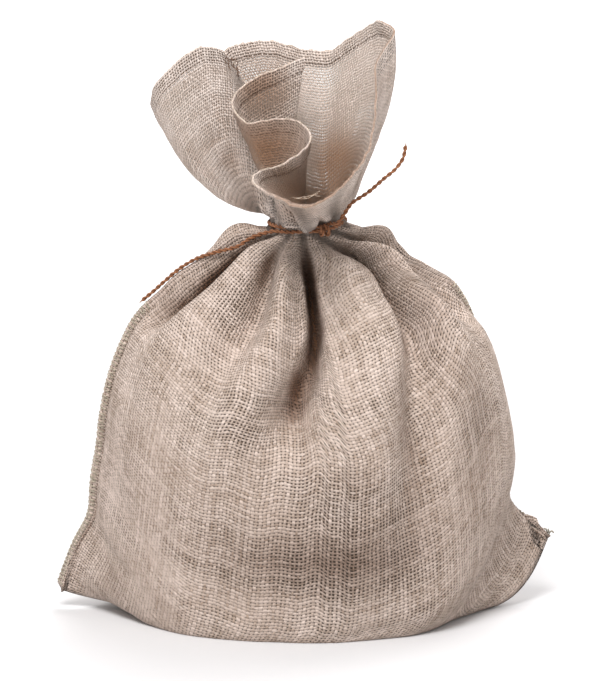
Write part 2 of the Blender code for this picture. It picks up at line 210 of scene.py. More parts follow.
# %% Folds gathered by the tie: place at a share of the rise, height and width in mm
FOLDS = """
name          at_100 at_93 at_85 at_76 at_68 at_55 at_40 foot full height width upper
seam_hollow   .035   .042  .038  .032  .03   .03   .03   .62  .78  -17    8     .9
left_crest    .07    .082  .088  .088  .086  .084  .085  .45  .78  9      17    .9
left_crease   .12    .136  .151  .149  .144  .143  .143  .68  .88  -9     7     1
finger        .16    .179  .195  .18   .167  .16   .155  .44  .7   14     11    .9
deep_valley   .212   .238  .248  .233  .213  .205  .198  .56  .68  -21    9     .45
front_ridge   .24    .32   .316  .294  .277  .267  .265  .25  .66  12     17    1
front_trough  .305   .405  .4    .372  .346  .322  .311  .3   .7   -15    10    .7
right_ridge   .36    .436  .428  .408  .394  .38   .375  .48  .78  10     9     .9
right_hollow  .41    .476  .474  .464  .454  .445  .445  .64  .8   -15    9     .9
right_crest   .475   .505  .515  .515  .514  .512  .512  .62  .8   6      14    1
back_trough_a .52    .565  .57   .575  .58   .59   .59   .5   .78  -12    10    .7
back_ridge_a  .57    .615  .62   .625  .63   .63   .63   .4   .76  10     13    1
back_trough_b .62    .655  .665  .67   .675  .67   .67   .55  .76  -14    9     .7
back_ridge_b  .67    .7    .71   .715  .72   .72   .72   .3   .72  12     15    1
back_trough_c .72    .745  .755  .765  .775  .78   .78   .45  .72  -13    10    .7
back_ridge_c  .77    .785  .8    .81   .82   .82   .82   .42  .74  11     12    1
back_trough_d .82    .835  .845  .855  .86   .86   .86   .58  .78  -14    9     .7
back_ridge_d  .87    .88   .89   .9    .905  .905  .905  .4   .78  10     13    1
back_trough_e .92    .925  .93   .935  .94   .94   .94   .6   .8   -8     10    .9
left_shoulder .955   .965  .975  .985  .99   .99   .99   .74  .86  5      13    1
left_hump     .955   .955  .955  .955  .96   .965  .97   .89  .96  5      10    1
right_hump    .5     .505  .505  .505  .505  .505  .505  .92  .97  6      11    1
"""

# %% The mouth's edge in the order of the cloth, and the twine's lead and free tail, mm
RIM = """
name           place x     y   z     lift swell
left_seam      0     -28.6 8   297   0    0
roll_behind    -     -14   17  299   0    0
roll_tip       -     2     15  309   0    0
roll_top       -     -13.8 4   304.7 2    0
roll_left      -     -29.7 -6  299   0    3
roll_turn      -     -37.5 -17 291   -4   5
curl_far_left  -     -29.7 -25 281   -2   4
curl_far       -     -14   -18 282   4    0
curl_far_right -     0     -15 279   6    0
curl_tip       -     5     -23 272   6    0
curl_near      -     -4.4  -35 264   6    0
curl_near_left -     -15.4 -43 261   4    0
pocket_left    .26   -25   -55 259.5 2    2
pocket_front_l -     -13   -74 250   8    6
pocket_front   -     2     -82 247.5 10   8
pocket_front_r -     17    -75 252   8    7
pocket_right   -     31    -57 262   5    9
right_seam     .5    39    -37 274   6    12
cone_front_low -     42.4  -20 294.7 8    19
cone_front     -     43.5  -5  313.7 10   24
cone_top_front -     52    3   325   11   27
cone_top_back  -     46    20  328   8    24
back_right     -     30    48  314.6 4    13
back_mid       -     16.5  58  303.6 0    8
back_left      -     0     60  304.2 0    6
back_far_left  -     -16.5 55  309.5 0    6
lobe_back_r    -     -30   46  310.6 -6   5
lobe_back      -     -41   38  308.6 -12  4
lobe_back_l    -     -59   27  298   -14  4
lobe_back_end  -     -75   13  287   -22  9
lobe_tip       -     -82   -2  285.7 -28  13
lobe_front_low -     -78.7 -14 300   -30  14
lobe_front     -     -66   -16 314   -24  10
lobe_front_top -     -52.3 -8  320   -14  4
lobe_front_end -     -41.8 0   315.8 -5   0
"""

LEAD = """
name       rise place lift
seam_exit  .69  0     1.3
shoulder_a .73  0     1.3
shoulder_b .775 0     1.3
shoulder_c .82  0     1.3
shoulder_d .865 0     1.3
shoulder_e .9   .003  1.4
shoulder_f .93  .014  2.4
shoulder_g .955 .03   5.2
"""

TAIL = """
name   x    y     z
leave  20.5 -25.5 226
rise_a 28.6 -25   237
rise_b 36.9 -24.5 242.6
rise_c 45.7 -23   250
rise_d 52.3 -21.5 255.4
hook   56   -20.5 260.6
end    57.6 -20   267.9
"""

SECTION = read_table(SECTIONS)
FOLD = read_table(FOLDS)
EDGE = read_table(RIM)
print("sections", len(SECTION["rise"]), "folds", len(FOLD["foot"]), "edge points", len(EDGE["x"]))

# %% [markdown]
# The sections run from the bottom fold to the neck, a super-ellipse whose side
# edges sharpen towards the bottom, where the cloth ends in two pointed corners.
# The folds are soft ridges and troughs that wander as they climb, each a bell
# curve pushed out along the cloth's own normal.  A table of shapes was chosen
# over a cloth simulation because every fold then sits where the real one does.

# %% Rings round the body
def half_section(g, start, end):
    """One side of a section, between two turns about the sack's axis."""
    turn = np.linspace(start, end, 601)
    c, s = np.cos(turn), np.sin(turn)
    side = (c + 1) / 2
    flat = np.where(c < 0, g["flat_l"], g["flat_r"])
    middle = 1 - np.abs(c) ** flat
    x, y, z = (g["left_" + a] + (g["right_" + a] - g["left_" + a]) * side for a in "xyz")
    y, z = y * (1 - middle) + g["mid_y"] * middle, z * (1 - middle) + g["mid_z"] * middle
    y += g["depth"] * np.sign(s) * np.abs(s) ** (2 * g["edge"])
    return np.stack([x, y, z], axis=-1)


def section_ring(rise, places):
    """Points round the sack at one rise, before its folds."""
    known = SECTION["rise"]
    at = np.array([rise])
    g = {n: float(smooth(at, known, SECTION[n])[0]) for n in SECTION if n != "rise"}
    left = math.pi + math.radians(g["turn_l"])
    right = 2 * math.pi + math.radians(g["turn_r"])
    points = np.zeros((len(places), 3))
    front = places < 0.5
    points[front] = evenly(half_section(g, left, right), places[front] * 2)
    back = half_section(g, right, left + 2 * math.pi)
    points[~front] = evenly(back, places[~front] * 2 - 1)
    return points


def outward(grid):
    """Unit normals of a grid that runs up in rows and round in columns."""
    round_it = np.roll(grid, -1, axis=1) - np.roll(grid, 1, axis=1)
    up = np.gradient(grid, axis=0)
    normal = np.cross(round_it, up)
    return normal / (np.linalg.norm(normal, axis=-1, keepdims=True) + 1e-9)


STATIONS = (40, 55, 68, 76, 85, 93, 100)
FOLD_PATHS = row(FOLD, [f"at_{station}" for station in STATIONS])


def round_from(places, centre):
    """Signed way round the sack from a centre to each place."""
    return (places - centre + 0.5) % 1 - 0.5


def from_fold(index, rises, places):
    """Signed way round from one fold's line at each rise."""
    line = smooth(np.clip(rises, 0.40, 1), np.array(STATIONS) / 100, FOLD_PATHS[index])
    return round_from(places[None, :], line[:, None])


def fold_heights(rises, girth, places):
    """How far the cloth stands out or in at each point of the body, mm."""
    squeeze = 1 - NECK_SQUEEZE * ease((rises - 0.91) / 0.08)
    total = np.zeros((len(rises), len(places)))
    for index in range(len(FOLD_PATHS)):
        away = from_fold(index, rises, places)
        upper = ease((rises - 0.66) / 0.18) * (1 - ease((rises - 0.9) / 0.08))
        narrowing = 1 - (1 - FOLD["upper"][index]) * upper
        width = FOLD["width"][index] * narrowing * np.clip(girth / 430, 0.2, 1.4)
        foot, full = FOLD["foot"][index], FOLD["full"][index]
        grown = FOLD["height"][index] * ease((rises - foot) / (full - foot)) * squeeze
        spread = np.abs(away * girth[:, None] / width[:, None])
        total += grown[:, None] * np.exp(-(spread ** FOLD_SHAPE))
    return total

# %% [markdown]
# The two side seams are overlocked: both layers' edges stand out together as a
# narrow lip, with a small groove where the needle pulls it in.  Small creases
# are soft troughs or ridges along short curves on the cloth, each placed one by
# one, and low noise keeps the rest from looking machined.

# %% The seam's lip
def beside_seam(places):
    """How far round each place lies from the nearer side seam."""
    return np.minimum(np.abs(places), np.minimum(np.abs(places - 0.5), np.abs(places - 1)))


LIP_STANDS = 3.3                 # mm
LIP_HALF = 1.25                  # half its thickness, mm


def seam_lip(rises, girth, places):
    """How far the overlocked seam stands out beside each place, mm."""
    away = beside_seam(places)[None, :] * girth[:, None]
    stand = LIP_STANDS * (1 - ease((away - 0.5 * LIP_HALF) / LIP_HALF))
    groove = 0.55 * np.exp(-((away - 2.6) / 1.0) ** 2)
    fade = 1 - ease((rises - 0.93) / 0.06)
    return (stand - groove) * fade[:, None]


# %% Small creases: stations on the cloth as place and rise, and height and width, mm
CREASES = """
name           place_a rise_a place_b rise_b place_c rise_c height width
ear_left_a     .02     .2     .07     .24    .12     .25    -1     4
ear_left_b     .015    .3     .06     .33    .11     .32    -.8    5
bottom_right_a .33     .255   .38     .275   .45     .31    -1.4   3
bottom_right_b .36     .3     .41     .32    .47     .36    -.9    4
bottom_mid     .25     .245   .29     .262   .33     .256   -.9    3
lip_shade      .215    .5     .25     .485   .29     .5     -1.2   7
lip_light      .215    .535   .25     .52    .29     .54    1.2    8
left_soft      .165    .42    .172    .48    .18     .56    1.2    6
"""
CREASE = read_table(CREASES)


def crease_line(folded, rises, places, index):
    """Points of one crease on the cloth."""
    t = np.linspace(0, 1, 18)
    spots = []
    for key in ("place", "rise"):
        a, b, c = (CREASE[f"{key}_{end}"][index] for end in "abc")
        spots.append((1 - t) ** 2 * a + 2 * t * (1 - t) * (2 * b - (a + c) / 2) + t * t * c)
    columns = np.searchsorted(places, spots[0] % 1.0).clip(0, len(places) - 1)
    rows = np.searchsorted(rises, spots[1]).clip(0, len(rises) - 1)
    return folded[rows, columns]


def wrinkled(folded, rises, places):
    """The body with its small creases and its slow unevenness."""
    height = np.zeros(folded.shape[:2])
    for index in range(len(CREASE["height"])):
        line = crease_line(folded, rises, places, index)
        low, high = line.min(axis=0) - 20, line.max(axis=0) + 20
        near = np.all((folded > low) & (folded < high), axis=2)
        apart = np.linalg.norm(folded[near][:, None] - line[None], axis=2)
        at = apart.argmin(axis=1)
        taper = np.sin(np.pi * (at + 1.5) / (len(line) + 2)) ** 0.7
        bell = np.exp(-((apart.min(axis=1) / CREASE["width"][index]) ** 2))
        height[near] += CREASE["height"][index] * bell * taper
    rough = 1.3 * noise_over(folded, (0.028, 0.028, 0.02), (0, 0, 7))
    rough += 0.45 * noise_over(folded, (0.08, 0.08, 0.05), (5, 0, 0))
    rough *= (1 - ease((rises - 0.86) / 0.1))[:, None]
    return folded + outward(folded) * (height + rough)[..., None]


# %% The body's surface
def body_surface(rises, places, dressed=False):
    """The filled body with its gathered folds and a flat base."""
    rises = np.asarray(rises, float)
    plain = np.stack([section_ring(rise, places) for rise in rises])
    girth = np.linalg.norm(np.roll(plain, -1, axis=1) - plain, axis=2).sum(axis=1)
    height = fold_heights(rises, girth, places)
    if dressed:
        height += seam_lip(rises, girth, places)
    else:
        fade = 1 - ease((rises - 0.9) / 0.08)
        ridge = np.clip(1 - beside_seam(places) / 0.005, 0, 1)
        height += SEAM_STAND * ridge[None, :] * fade[:, None]
    level = 1 - ease((rises - 0.93) / 0.07)
    facing = outward(plain)
    facing[..., 2] *= level[:, None]
    folded = plain + unit(facing) * height[..., None]
    if dressed:
        folded = wrinkled(folded, rises, places)
    z = folded[..., 2]
    blend = (z + FLOOR_BLEND) ** 2 / (4 * FLOOR_BLEND)
    folded[..., 2] = np.where(z > FLOOR_BLEND, z, np.where(z < -FLOOR_BLEND, 0, blend))
    return folded, plain[-1]

# %% [markdown]
# Above the tie the cloth is free.  Each strip of it is a short Bezier curve from
# the squeezed neck to the mouth's edge, lifted or swelled on the way, so the
# ruffle is smooth in both directions without any simulation, and the pleats of
# the neck die out along it.

# %% The mouth's surface
def rim_places():
    """Place round the sack of each rim point, shared out by length between pinned ones."""
    points = row(EDGE, ["x", "y", "z"])
    length = lengths_along(np.concatenate([points, points[:1]]))
    pinned = np.flatnonzero(~np.isnan(EDGE["place"]))
    known = np.append(length[pinned], length[-1])
    return np.interp(length[:-1], known, np.append(EDGE["place"][pinned], 1.0))


def mouth_surface(rises, places, neck, plain_neck):
    """The free cloth above the tie, from the squeezed band to its edge."""
    at = rim_places()
    rim = smooth_loop(places, at, row(EDGE, ["x", "y", "z"]))
    lift = smooth_loop(places, at, EDGE["lift"])[:, None]
    swell = smooth_loop(places, at, EDGE["swell"])[:, None]
    start = plain_neck + [0, 0, BAND_HEIGHT]
    reach = (rim - start) * [1, 1, 0]
    away = reach / (np.linalg.norm(reach, axis=1, keepdims=True) + 5)
    middle = start + 0.45 * (rim - start) + lift * [0, 0, 1] + swell * away
    spring = unit((plain_neck - plain_neck.mean(axis=0)) * [1, 1, 0])
    pleat = neck - plain_neck
    from_seam = np.minimum(places, 1 - places)[:, None]
    fade = 1.7 + 6 * (1 - ease(from_seam / 0.16))
    rows = []
    for t in rises:
        wall = (1 - t) ** 2 * start + 2 * t * (1 - t) * middle + t * t * rim
        puff = PUFF * t / PUFF_HEIGHT * math.exp(1 - t / PUFF_HEIGHT)
        grown = (1 + PLEAT_SPRING * ease(t / PUFF_HEIGHT)) * (1 - t) ** fade
        rows.append(wall + puff * spring + grown * pleat)
    return np.stack(rows)

# %% [markdown]
# The twine comes from the left seam, goes over the shoulder and round the neck,
# makes a knot of two loops and ends in a free tail.  Its path is worked out from
# the neck's own outline, so the tie lies on the cloth all the way round.

# %% The twine's path
def tie_strand(angles, levels):
    """Points on the tie's strand at given angles, degrees, and heights from its middle."""
    places = np.linspace(0, 1, 240, endpoint=False)
    body, plain_neck = body_surface([0.97, 0.985, 1.0], places)
    band = mouth_surface([0], places, body[-1], plain_neck)
    centre = plain_neck.mean(axis=0) + [0, 0, BAND_HEIGHT / 2]
    cloth = np.concatenate([body[-1], *band])[:, :2] - centre[:2]
    turn = np.radians(np.arange(0, 360, 3))
    facing = np.stack([np.cos(turn), np.sin(turn)], axis=-1)
    hull = (cloth @ facing.T).max(axis=0) + TWINE_RADIUS + TWINE_GAP
    waves = np.fft.rfft(hull)
    waves[6:] = 0
    rounded = np.fft.irfft(waves, len(hull))
    hull = rounded + (hull - rounded).max()
    slope = (np.roll(hull, -1) - np.roll(hull, 1)) / (2 * math.radians(3))
    flat = hull[:, None] * facing + slope[:, None] * np.stack([-facing[:, 1], facing[:, 0]], -1)
    bend = (np.asarray(angles, float) - KNOT_AT - 8 + 180) % 360 - 180
    share = (np.asarray(angles) / 360) % 1.0
    line = smooth_loop(share, np.arange(0, 360, 3) / 360, flat)
    out = unit(line)
    line = line + out * (KNOT_LIFT * np.exp(-((bend / KNOT_WIDE) ** 2)))[:, None]
    tilt = np.polyfit(plain_neck[:, 0], plain_neck[:, 2], 1)[0]
    height = centre[2] + TIE_RISE + tilt * line[:, 0] + np.asarray(levels)
    return np.column_stack([line + centre[:2], height]), np.column_stack([out, 0 * height])


def twine_line():
    """The whole twine in order: lead, one turn and a part, knot, free tail."""
    lead, tail = read_table(LEAD), read_table(TAIL)
    grid_rises = np.concatenate([lead["rise"], [1.0]])
    places = np.unique(np.concatenate([lead["place"], np.linspace(0.06, 0.99, 60)]))
    body, _ = body_surface(grid_rises, places)
    facing = outward(body)
    pick = [int(np.argmin(np.abs(places - place))) for place in lead["place"]]
    start = [body[i, j] + facing[i, j] * (TWINE_RADIUS + lift)
             for i, (j, lift) in enumerate(zip(pick, lead["lift"]))]
    angles = np.arange(TIE_START, KNOT_AT, 6)
    climb = ease((angles - TIE_START - 130) / 200)
    wrap, _ = tie_strand(angles, STRANDS_APART * (2 * climb - 1))
    steps = np.arange(1, KNOT_TURNS * 12 + 1) / 12
    past = np.arange(KNOT_AT, KNOT_AT + 50, 2)
    under, out = tie_strand(past, np.full(len(past), -STRANDS_APART))
    reach = np.linalg.norm(np.diff(under, axis=0), axis=1).sum()
    core = evenly(under, KNOT_ADVANCE * steps / reach)
    out = out[np.clip(np.searchsorted(past, KNOT_AT + 9 * steps), 0, len(past) - 1)]
    swing = math.pi / 2 - 2 * math.pi * steps
    loops = core + KNOT_LOOP * (np.cos(swing)[:, None] * out + np.sin(swing)[:, None] * [0, 0, 1])
    points = np.concatenate([start, wrap, loops[:-1], row(tail, ["x", "y", "z"])])
    length = lengths_along(points)
    count = int(length[-1] / TWINE_STEP)
    return smooth(np.linspace(0, length[-1], count + 1), length, points)

# %% [markdown]
# The twine is two plies of jute laid round each other.  A two-lobed section is
# swept along its path and turned once every few millimetres, so the twist is
# real geometry that catches the light.  It is a free cord: one turn round the
# neck and a part, a knot of two loops, and one free tail.

# %% Sweeping a section along a line
def side_vectors(points, first):
    """Two vectors across a line at each point, carried along it without twisting."""
    tangent = unit(np.gradient(points, axis=0))
    side = np.zeros_like(points)
    side[0] = np.cross(tangent[0], first)
    for i in range(len(points)):
        here = side[max(i - 1, 0)]
        side[i] = unit(here - tangent[i] * (here @ tangent[i]))
    return side, np.cross(tangent, side)


def sweep(points, sections, turns, first=(0, 0, 1)):
    """Rings of points along a line; sections are radii by angle for each ring, in mm."""
    side, other = side_vectors(points, np.array(first, float))
    count = sections.shape[1]
    angle = 2 * np.pi * np.arange(count) / count
    spin = angle[None, :] + turns[:, None]
    out = (np.cos(spin)[..., None] * side[:, None] + np.sin(spin)[..., None] * other[:, None])
    return points[:, None] + out * sections[..., None]


def ring_quads(rings, count, start=0, looped=False):
    """Quads between rings of vertices that follow each other; looped joins the last to the first."""
    faces = []
    for i in range(rings - 1 + looped):
        low, high = start + i * count, start + (i + 1) % rings * count
        for k in range(count):
            m = (k + 1) % count
            faces.append((low + k, low + m, high + m, high + k))
    return faces


def tube_faces(rings, count, start):
    """Quads round a tube, and its two closed ends."""
    faces = ring_quads(rings, count, start)
    faces.append(tuple(start + k for k in reversed(range(count))))
    faces.append(tuple(start + (rings - 1) * count + k for k in range(count)))
    return faces


def mesh_object(name, points, faces, *materials, **maps):
    """A smooth-shaded mesh object from points in mm, with its materials and UV maps."""
    data = bpy.data.meshes.new(name)
    data.from_pydata((np.asarray(points) * MM).tolist(), [], faces)
    index = np.zeros(len(data.loops), np.int32)
    data.loops.foreach_get("vertex_index", index)
    for title, values in maps.items():
        layer = data.uv_layers.new(name=title)
        layer.uv.foreach_set("vector", values[index].astype(np.float32).ravel())
    for material in materials:
        data.materials.append(material)
    data.shade_smooth()
    thing = bpy.data.objects.new(name, data)
    bpy.context.scene.collection.objects.link(thing)
    print(name, len(data.vertices), "points", len(data.polygons), "faces")
    return thing


def spaced_out(points, step):
    """The same line with even steps."""
    length = lengths_along(points)
    count = max(2, int(round(length[-1] / step)) + 1)
    return smooth(np.linspace(0, length[-1], count), length, points)


# %% The twine
PLY_RADIUS = 0.62                # of one ply, mm
PLY_OFFSET = 0.53                # of its middle from the twine's middle, mm
TWINE_SIDES = 18
RING_STEP = 0.42                 # from ring to ring of the laid twine, mm


def twine_piece():
    line = spaced_out(twine_line(), RING_STEP)
    angle = 2 * np.pi * np.arange(TWINE_SIDES) / TWINE_SIDES
    lobe = PLY_OFFSET * np.abs(np.cos(angle))
    lobe = lobe + np.sqrt(PLY_RADIUS**2 - (PLY_OFFSET * np.sin(angle)) ** 2)
    along = np.arange(len(line)) * RING_STEP
    slub = np.array([noise.noise(Vector((x * 0.16, 3.1, 0))) for x in along])
    radii = lobe[None, :] * (1 + 0.16 * slub[:, None])
    fade = np.minimum(1, (np.minimum(along, along[-1] - along) + 0.5) / 1.6)
    radii *= np.sqrt(fade)[:, None]
    turns = 2 * np.pi * along / TWINE_PITCH
    rings = sweep(line, radii, turns)
    uv = np.stack(np.broadcast_arrays(angle[None, :] / (2 * np.pi), along[:, None]), -1)
    faces = tube_faces(len(line), TWINE_SIDES, 0)
    twine = mesh_object("tie_twine_laid", rings.reshape(-1, 3), faces, threads=uv.reshape(-1, 2))
    return twine, line


twine, twine_path = twine_piece()
TWINE_LENGTH = float(np.linalg.norm(np.diff(twine_path, axis=0), axis=1).sum())
print("twine length mm", round(TWINE_LENGTH, 1))

# %% Hairs standing off the twine
HAIR_STEPS = 4                   # rings of one hair below its tip
TWINE_HAIRS = 620
EDGE_HAIRS = 2600
BODY_HAIRS = 4200
MOUTH_HAIRS = 1200


def hair_tubes(roots, leans, lengths, thick, curl, seed):
    """Thin three-sided tapered hairs; each starts at a root and leans its own way."""
    rng = np.random.default_rng(seed)
    points, faces = [], []
    corner = np.array([[1, 0], [-0.5, 0.87], [-0.5, -0.87]])
    for root, lean, length in zip(roots, leans, lengths):
        lean = unit(lean)
        bend = rng.normal(size=3) * curl
        start = len(points)
        across = unit(np.cross(lean, rng.normal(size=3)))
        other = np.cross(lean, across)
        for t in np.arange(HAIR_STEPS) / HAIR_STEPS:
            middle = root + lean * length * t + bend * length * t * t
            width = thick * (1 - 0.7 * t)
            for a, b in corner:
                points.append(middle + (across * a + other * b) * width)
        tip = len(points)
        points.append(root + lean * length + bend * length)
        faces += ring_quads(HAIR_STEPS, 3, start)
        last = start + 3 * (HAIR_STEPS - 1)
        faces += [(last, last + 1, tip), (last + 1, last + 2, tip), (last + 2, last, tip)]
        faces.append((start + 2, start + 1, start))
    return np.array(points), faces


def twine_hairs():
    rng = np.random.default_rng(11)
    tangent = unit(np.gradient(twine_path, axis=0))
    pick = rng.integers(4, len(twine_path) - 4, TWINE_HAIRS)
    away = rng.normal(size=(len(pick), 3))
    away = unit(away - tangent[pick] * (away * tangent[pick]).sum(1, keepdims=True))
    roots = twine_path[pick] + away * 0.62
    leans = away * rng.uniform(0.3, 1.0, (len(pick), 1)) + tangent[pick] * rng.normal(size=(len(pick), 1))
    lengths = rng.gamma(2.2, 0.55, len(pick)) + 0.3
    ends = []
    for end, way in ((0, -1), (-1, 1)):
        for _ in range(16):
            ends.append((twine_path[end] + rng.normal(size=3) * 0.25,
                         tangent[end] * way + rng.normal(size=3) * 0.35, rng.uniform(1.5, 3.6)))
    roots = np.concatenate([roots, [e[0] for e in ends]])
    leans = np.concatenate([leans, [e[1] for e in ends]])
    lengths = np.concatenate([lengths, [e[2] for e in ends]])
    points, faces = hair_tubes(roots, leans, lengths, 0.06, 0.35, 5)
    return mesh_object("tie_twine_hairs", points, faces)


hairs = twine_hairs()
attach(twine, "root")
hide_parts("tie_twine")
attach(hairs, "root")
tuple(twine_path[0] * MM)
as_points(twine_path * MM)

# %% [markdown]
# The cloth is made as a front and a back panel that meet at the side seams, as
# the real sack's two sides do.  Each is a closed thin shell: the outside from
# the bottom fold to the mouth's edge, rounded over the edge, and back down as
# the lining.  The turned hem is a second layer, so the lining is thicker there.

# %% Grid of the cloth
HEM = 7.6                        # depth of the turned hem, mm
HEM_EXTRA = 0.8                  # what its second layer adds, mm
WALL_THICKNESS = 0.5             # one open layer of the free mouth, mm
BODY_ROWS = np.concatenate([np.linspace(0, 0.2, 15)[:-1], np.linspace(0.2, 1, 141)])
MOUTH_ROWS = np.linspace(0, 1, 57) ** 1.15
INNER_ROWS = [151, 146, 140, 134, 128, 121, 113, 104, 95, 86, 77, 68, 59, 50, 41, 32, 23, 14, 7]
INNER_DEPTH = 3.0                # how far inside the body's hidden face lies, mm
SEAM_DEPTH = 0.8                 # and beside a seam, where the two sides meet, mm
DROOP_MIDDLE = -2.0              # slack cloth hangs over the twine here, mm from the middle
DROOP_HALF = 12.5                # half its width, mm
DROOP_OUT = 2.4                  # mm
DROOP_DOWN = 7.4                 # mm


def cloth_places():
    """Places round the sack, finer beside the seams."""
    fine = np.array([0, .0006, .0012, .0018, .0024, .0031, .0039, .0049, .0062, .0080, .0102])
    even = np.linspace(0.0125, 0.4875, 237)
    half = np.concatenate([fine, even, 0.5 - fine[::-1]])
    return np.concatenate([half, 1 - half[-2:0:-1]])


places = cloth_places()
body_grid, plain_neck = body_surface(BODY_ROWS, places, dressed=True)
mouth_grid = mouth_surface(MOUTH_ROWS, places, body_grid[-1], plain_neck)
HALF = len(places) // 2
print("cloth grid", body_grid.shape, mouth_grid.shape)

# %% [markdown]
# A cut edge that has been turned and sewn never lies in a clean curve.  Two
# scales of noise move the edge in and out and up and down, most at the rim and
# fading below it, and a slower one dents the walls.  The noise is read at each
# point's own place in space, so both sides of the seam agree.

# %% The mouth's edge, uneven, and its lining
def uneven_edge(mouth):
    """The free edge is never a clean curve: it dips and leans a little, most at the rim."""
    from_rim = lengths_along(mouth[::-1])[::-1]
    near = np.exp(-((from_rim / 14) ** 2))
    facing = outward(mouth)
    edge = mouth[-1] * 0.1
    wave = noise_over(edge, (1, 1, 1)) + 0.5 * noise_over(edge, (3, 3, 1))
    dip = noise_over(edge, (2, 2, 2), (9, 0, 0))
    return mouth + facing * (1.1 * wave * near)[..., None] + (0.9 * dip * near)[..., None] * [0, 0, 1]


def slow_unevenness(mouth):
    """Shallow dents over the mouth's walls."""
    rise = np.clip(MOUTH_ROWS[:, None] * 4, 0, 1)
    dent = 0.9 * noise_over(mouth, (0.05, 0.05, 0.05), (0, 0, 3))
    dent += 0.35 * noise_over(mouth, (0.16, 0.16, 0.16))
    return mouth + outward(mouth) * (dent * rise)[..., None]

# %% [markdown]
# Single creases are kept in a table, one line each.  A line gives the place, how
# far up the wall it lies, its size, how deep it dents the cloth in mm and how
# much painted shade it lays in the crease, from 0 to 1.  A table like this is
# quicker to adjust than code, and adding a crease is adding a line.

# %% Marks on the mouth's cloth
def bells(text, rows, column="amount", closed=True):
    """The lines of a table as soft bells over places and rows, each with its amount."""
    table = read_table(text)
    for index, amount in enumerate(table[column]):
        away = places - table["place"][index]
        if closed:
            away = round_from(places, table["place"][index])
        up = (rows - table["rise"][index]) / table["tall"][index]
        bell = np.exp(-(up[:, None] ** 2) - (away / table["wide"][index])[None, :] ** 2)
        yield amount, bell


MARKS = """
name         place rise wide  tall dent shade
dimple       .936  .467 .012  .085 -2.2 .45
brown_crease .926  .62  .012  .022 -.9  .4
lobe_fold    .905  .56  .006  .22  -1.3 .2
cone_foot    .56   .18  .06   .16  0    .25
curl_back    .15   .74  .05   .42  0    .95
back_slit    .621  .54  .0025 .1   -1.2 .85
"""
dents = sum(amount * bell for amount, bell in bells(MARKS, MOUTH_ROWS, "dent"))
# The shade column paints shade into the creases.
crease_shading = sum(amount * bell for amount, bell in bells(MARKS, MOUTH_ROWS, "shade"))
mouth_grid += outward(mouth_grid) * dents[..., None]
mouth_grid = uneven_edge(slow_unevenness(mouth_grid))
from_rim = lengths_along(mouth_grid[::-1])[::-1]
hem_step = 1 - ease((from_rim - HEM + 0.8) / 1.0)
throat_fill = THROAT_FILL * (1 - MOUTH_ROWS[:, None]) ** 4
thickness = WALL_THICKNESS + HEM_EXTRA * hem_step + throat_fill
lining_grid = mouth_grid - outward(mouth_grid) * thickness[..., None]


def away_from_filling(grid):
    """Directions out of the body, averaged with their neighbours so a sharp seam can't turn them."""
    facing = outward(grid)
    return unit(sum(np.roll(facing, step, axis=1) for step in range(-12, 13)))


def over_the_tie(mouth):
    """At the front the slack cloth hangs down over the twine in one round puff."""
    across = np.clip(np.abs(mouth[..., 0] - DROOP_MIDDLE) / DROOP_HALF, 0, 1)
    here = np.sqrt(1 - across**2) * ease((-mouth[..., 1] - 4) / 4)
    t = MOUTH_ROWS[:, None]
    low = ease((t - 0.030) / 0.03) * (1 - ease((t - 0.16) / 0.2))
    soft = low * ease(here * 2.0)
    turned = [np.roll(mouth, step, axis=1) for step in range(-16, 17)]
    front = np.min([shifted[..., 1] for shifted in turned], axis=0)
    front = sum(np.roll(front, step, axis=1) for step in range(-12, 13)) / 25
    level = sum(turned)[..., 2] / len(turned)
    out = ease((t - 0.030) / 0.04) * (1 - ease((t - 0.13) / 0.2))
    down = ease((t - 0.045) / 0.055) * (1 - ease((t - 0.11) / 0.27))
    y = mouth[..., 1] * (1 - soft) + np.minimum(front, mouth[..., 1]) * soft - DROOP_OUT * out * here
    z = mouth[..., 2] * (1 - soft) + level * soft - DROOP_DOWN * down * here
    return np.stack([mouth[..., 0], y, z], axis=-1)


from_seam = np.minimum(places % 0.5, 0.5 - places % 0.5)
inner_depth = SEAM_DEPTH + (INNER_DEPTH - SEAM_DEPTH) * ease(from_seam / 0.04)
inner_grid = body_grid - away_from_filling(body_grid) * inner_depth[None, :, None]
mouth_grid = over_the_tie(mouth_grid)
print("wall above the tie mm", from_rim[0].min().round(1), "to", from_rim[0].max().round(1))

# %% [markdown]
# A weave needs coordinates that count threads, not millimetres.  Round the body
# there are always the same warp threads, so where the neck gathers the cloth,
# the missing threads are hidden in the valleys, and on the ridges their spacing
# stays true.  The free mouth has a count and a closer spacing of its own.  Every
# strip has the same weft threads from the bottom to the neck, and above it the
# weft runs parallel to the hem.

# %% Thread counts at every point of the grid
PITCH = 1.9                      # mm from thread to thread on the body
MOUTH_PITCH = 1.6                # and in the mouth, where nothing stretches it
WARPS = 158                      # in each side of the sack
NECK_WEFT = 168                  # weft threads from the bottom fold to the neck
RIM_WEFT = NECK_WEFT + 50.5


def valley_share(rises, girth):
    """Where the hidden threads go: a share for each step round the sack."""
    share = np.full((len(rises), len(places)), 0.05)
    for index in np.flatnonzero(FOLD["height"] < 0):
        away = from_fold(index, rises, places)
        width = 0.8 * FOLD["width"][index] * np.clip(girth / 430, 0.2, 1.4)
        share -= FOLD["height"][index] * np.exp(-((away * girth[:, None] / width[:, None]) ** 2))
    return share


